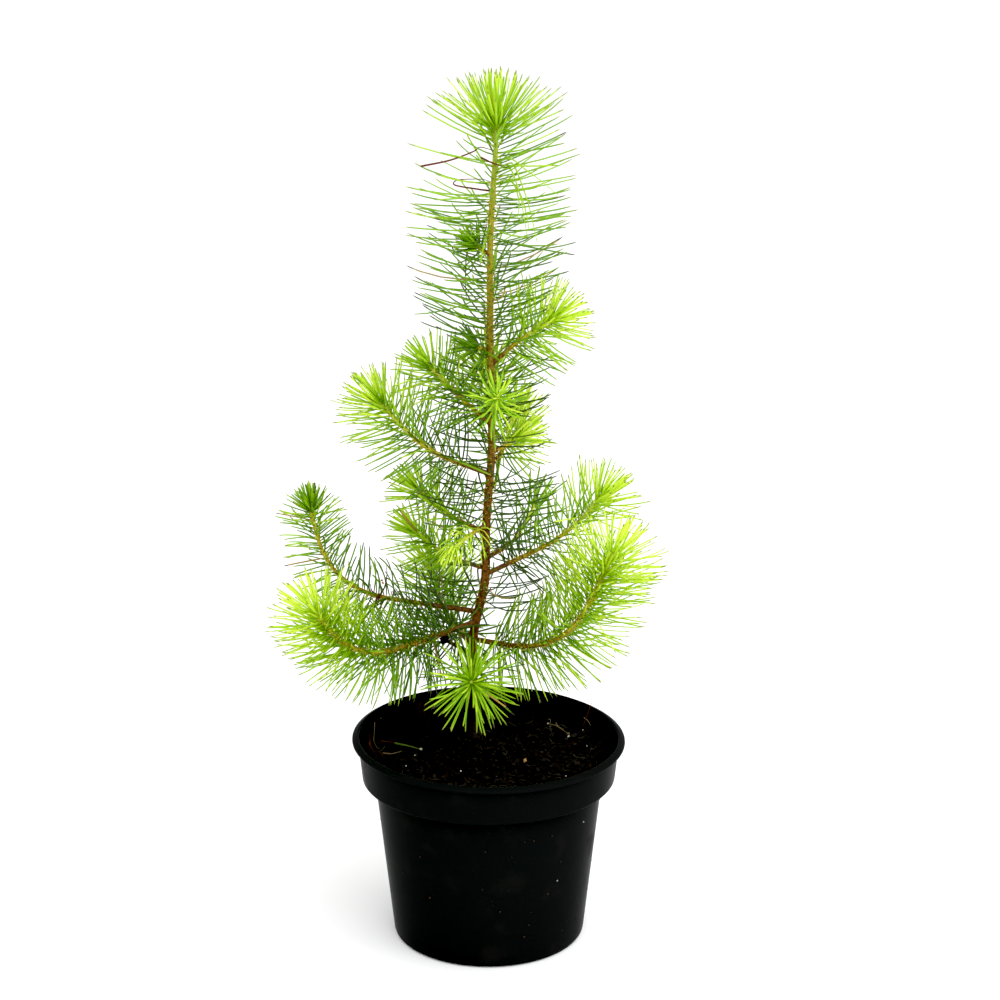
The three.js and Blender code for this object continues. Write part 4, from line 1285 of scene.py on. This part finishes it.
def make_dry_bits():
    draw, heap = random.Random(51), Heap()
    for tone, place, size in DRY_LUMPS:
        heap.add(*crumb(Vector(place) * MILLIMETRE, size * MILLIMETRE, draw), tone)
    for tone, *corners in DRY_BITS:
        line = smooth_line([Vector(corner) * MILLIMETRE for corner in corners])
        last = len(line) - 1
        radii = [DRY_RADII[tone] * (1.3 - 0.9 * i / last) for i in range(last + 1)]
        heap.add(*thread(line, radii, 6, 0.75), tone)
    return heap.piece("dry_bits", [
        matt("russet_needle", (0.11, 0.026, 0.009)),
        matt("withered_green_needle", (0.3, 0.48, 0.035)),
        matt("fallen_green_needle", (0.075, 0.12, 0.02)),
        matt("soil_brown_fibre", (0.06, 0.022, 0.012)),
        matt("soil_straw", (0.13, 0.1, 0.05)),
        matt("red_knot", (0.16, 0.03, 0.01)),
        matt("pale_scar", (0.7, 0.68, 0.4)),
        matt("dry_ochre", (0.35, 0.2, 0.05)),
    ], 60)


settle(make_dry_bits(), "dead_wood")


# Studio. A plain pale floor, a bright even room, large soft lights in front and to the right,
# and a long lens. The black and white levels of the view imitate the photo's crushed blacks.
FLOOR_HALF = 9.0
LENS = 90.3
CAMERA_PLACE = (0.0054, -1.115, 0.542)
CAMERA_PITCH = 16.3
CLIP_END = 60
LIGHT_TARGET = Vector((0, 0, 0.2))
BLACK_LEVEL = 0.01
WHITE_LEVEL = 0.86


def make_floor():
    material, tree, shader = new_material("pale_floor", (0.94, 0.94, 0.94), 0.9, 0.1)
    tint = mottled(tree, (0.95, 0.95, 0.95), (0.94, 0.943, 0.946), Scale=2, Detail=2)
    give(tree, shader, Base_Color=tint["Colour"])
    corners = [(x * FLOOR_HALF, y * FLOOR_HALF, 0) for x, y in product((-1, 1), repeat=2)]
    return mesh_piece("floor", corners, [(0, 2, 3, 1)], [material])


def area_light(name, place, size, power):
    light = bpy.data.lights.new(name, "AREA")
    light.shape = "DISK"
    light.size = size
    light.energy = power
    lamp = stand(name, light)
    lamp.location = place
    lamp.rotation_euler = (LIGHT_TARGET - Vector(place)).to_track_quat("-Z", "Y").to_euler()


def make_room():
    world = bpy.data.worlds.new("room")
    world.use_nodes = True
    background = next(node for node in world.node_tree.nodes if node.type == "BACKGROUND")
    give(world.node_tree, background, Color=(1.0, 1.0, 1.0, 1), Strength=1)
    bpy.context.scene.world = world
    view = bpy.context.scene.view_settings
    view.view_transform = "Standard"
    view.use_curve_mapping = True
    view.curve_mapping.black_level = [BLACK_LEVEL] * 3
    view.curve_mapping.white_level = [WHITE_LEVEL] * 3
    view.curve_mapping.update()


def make_camera():
    lens = bpy.data.cameras.new("camera")
    lens.lens = LENS
    lens.clip_end = CLIP_END
    camera = stand("camera", lens)
    camera.location = CAMERA_PLACE
    camera.rotation_euler = (radians(90 - CAMERA_PITCH), 0, 0)
    bpy.context.scene.camera = camera


make_floor()
make_room()
make_camera()
area_light("key", (0.6, -1.45, 1.55), 2.3, 21)
area_light("side", (1.5, -0.3, 1.3), 1.8, 10)
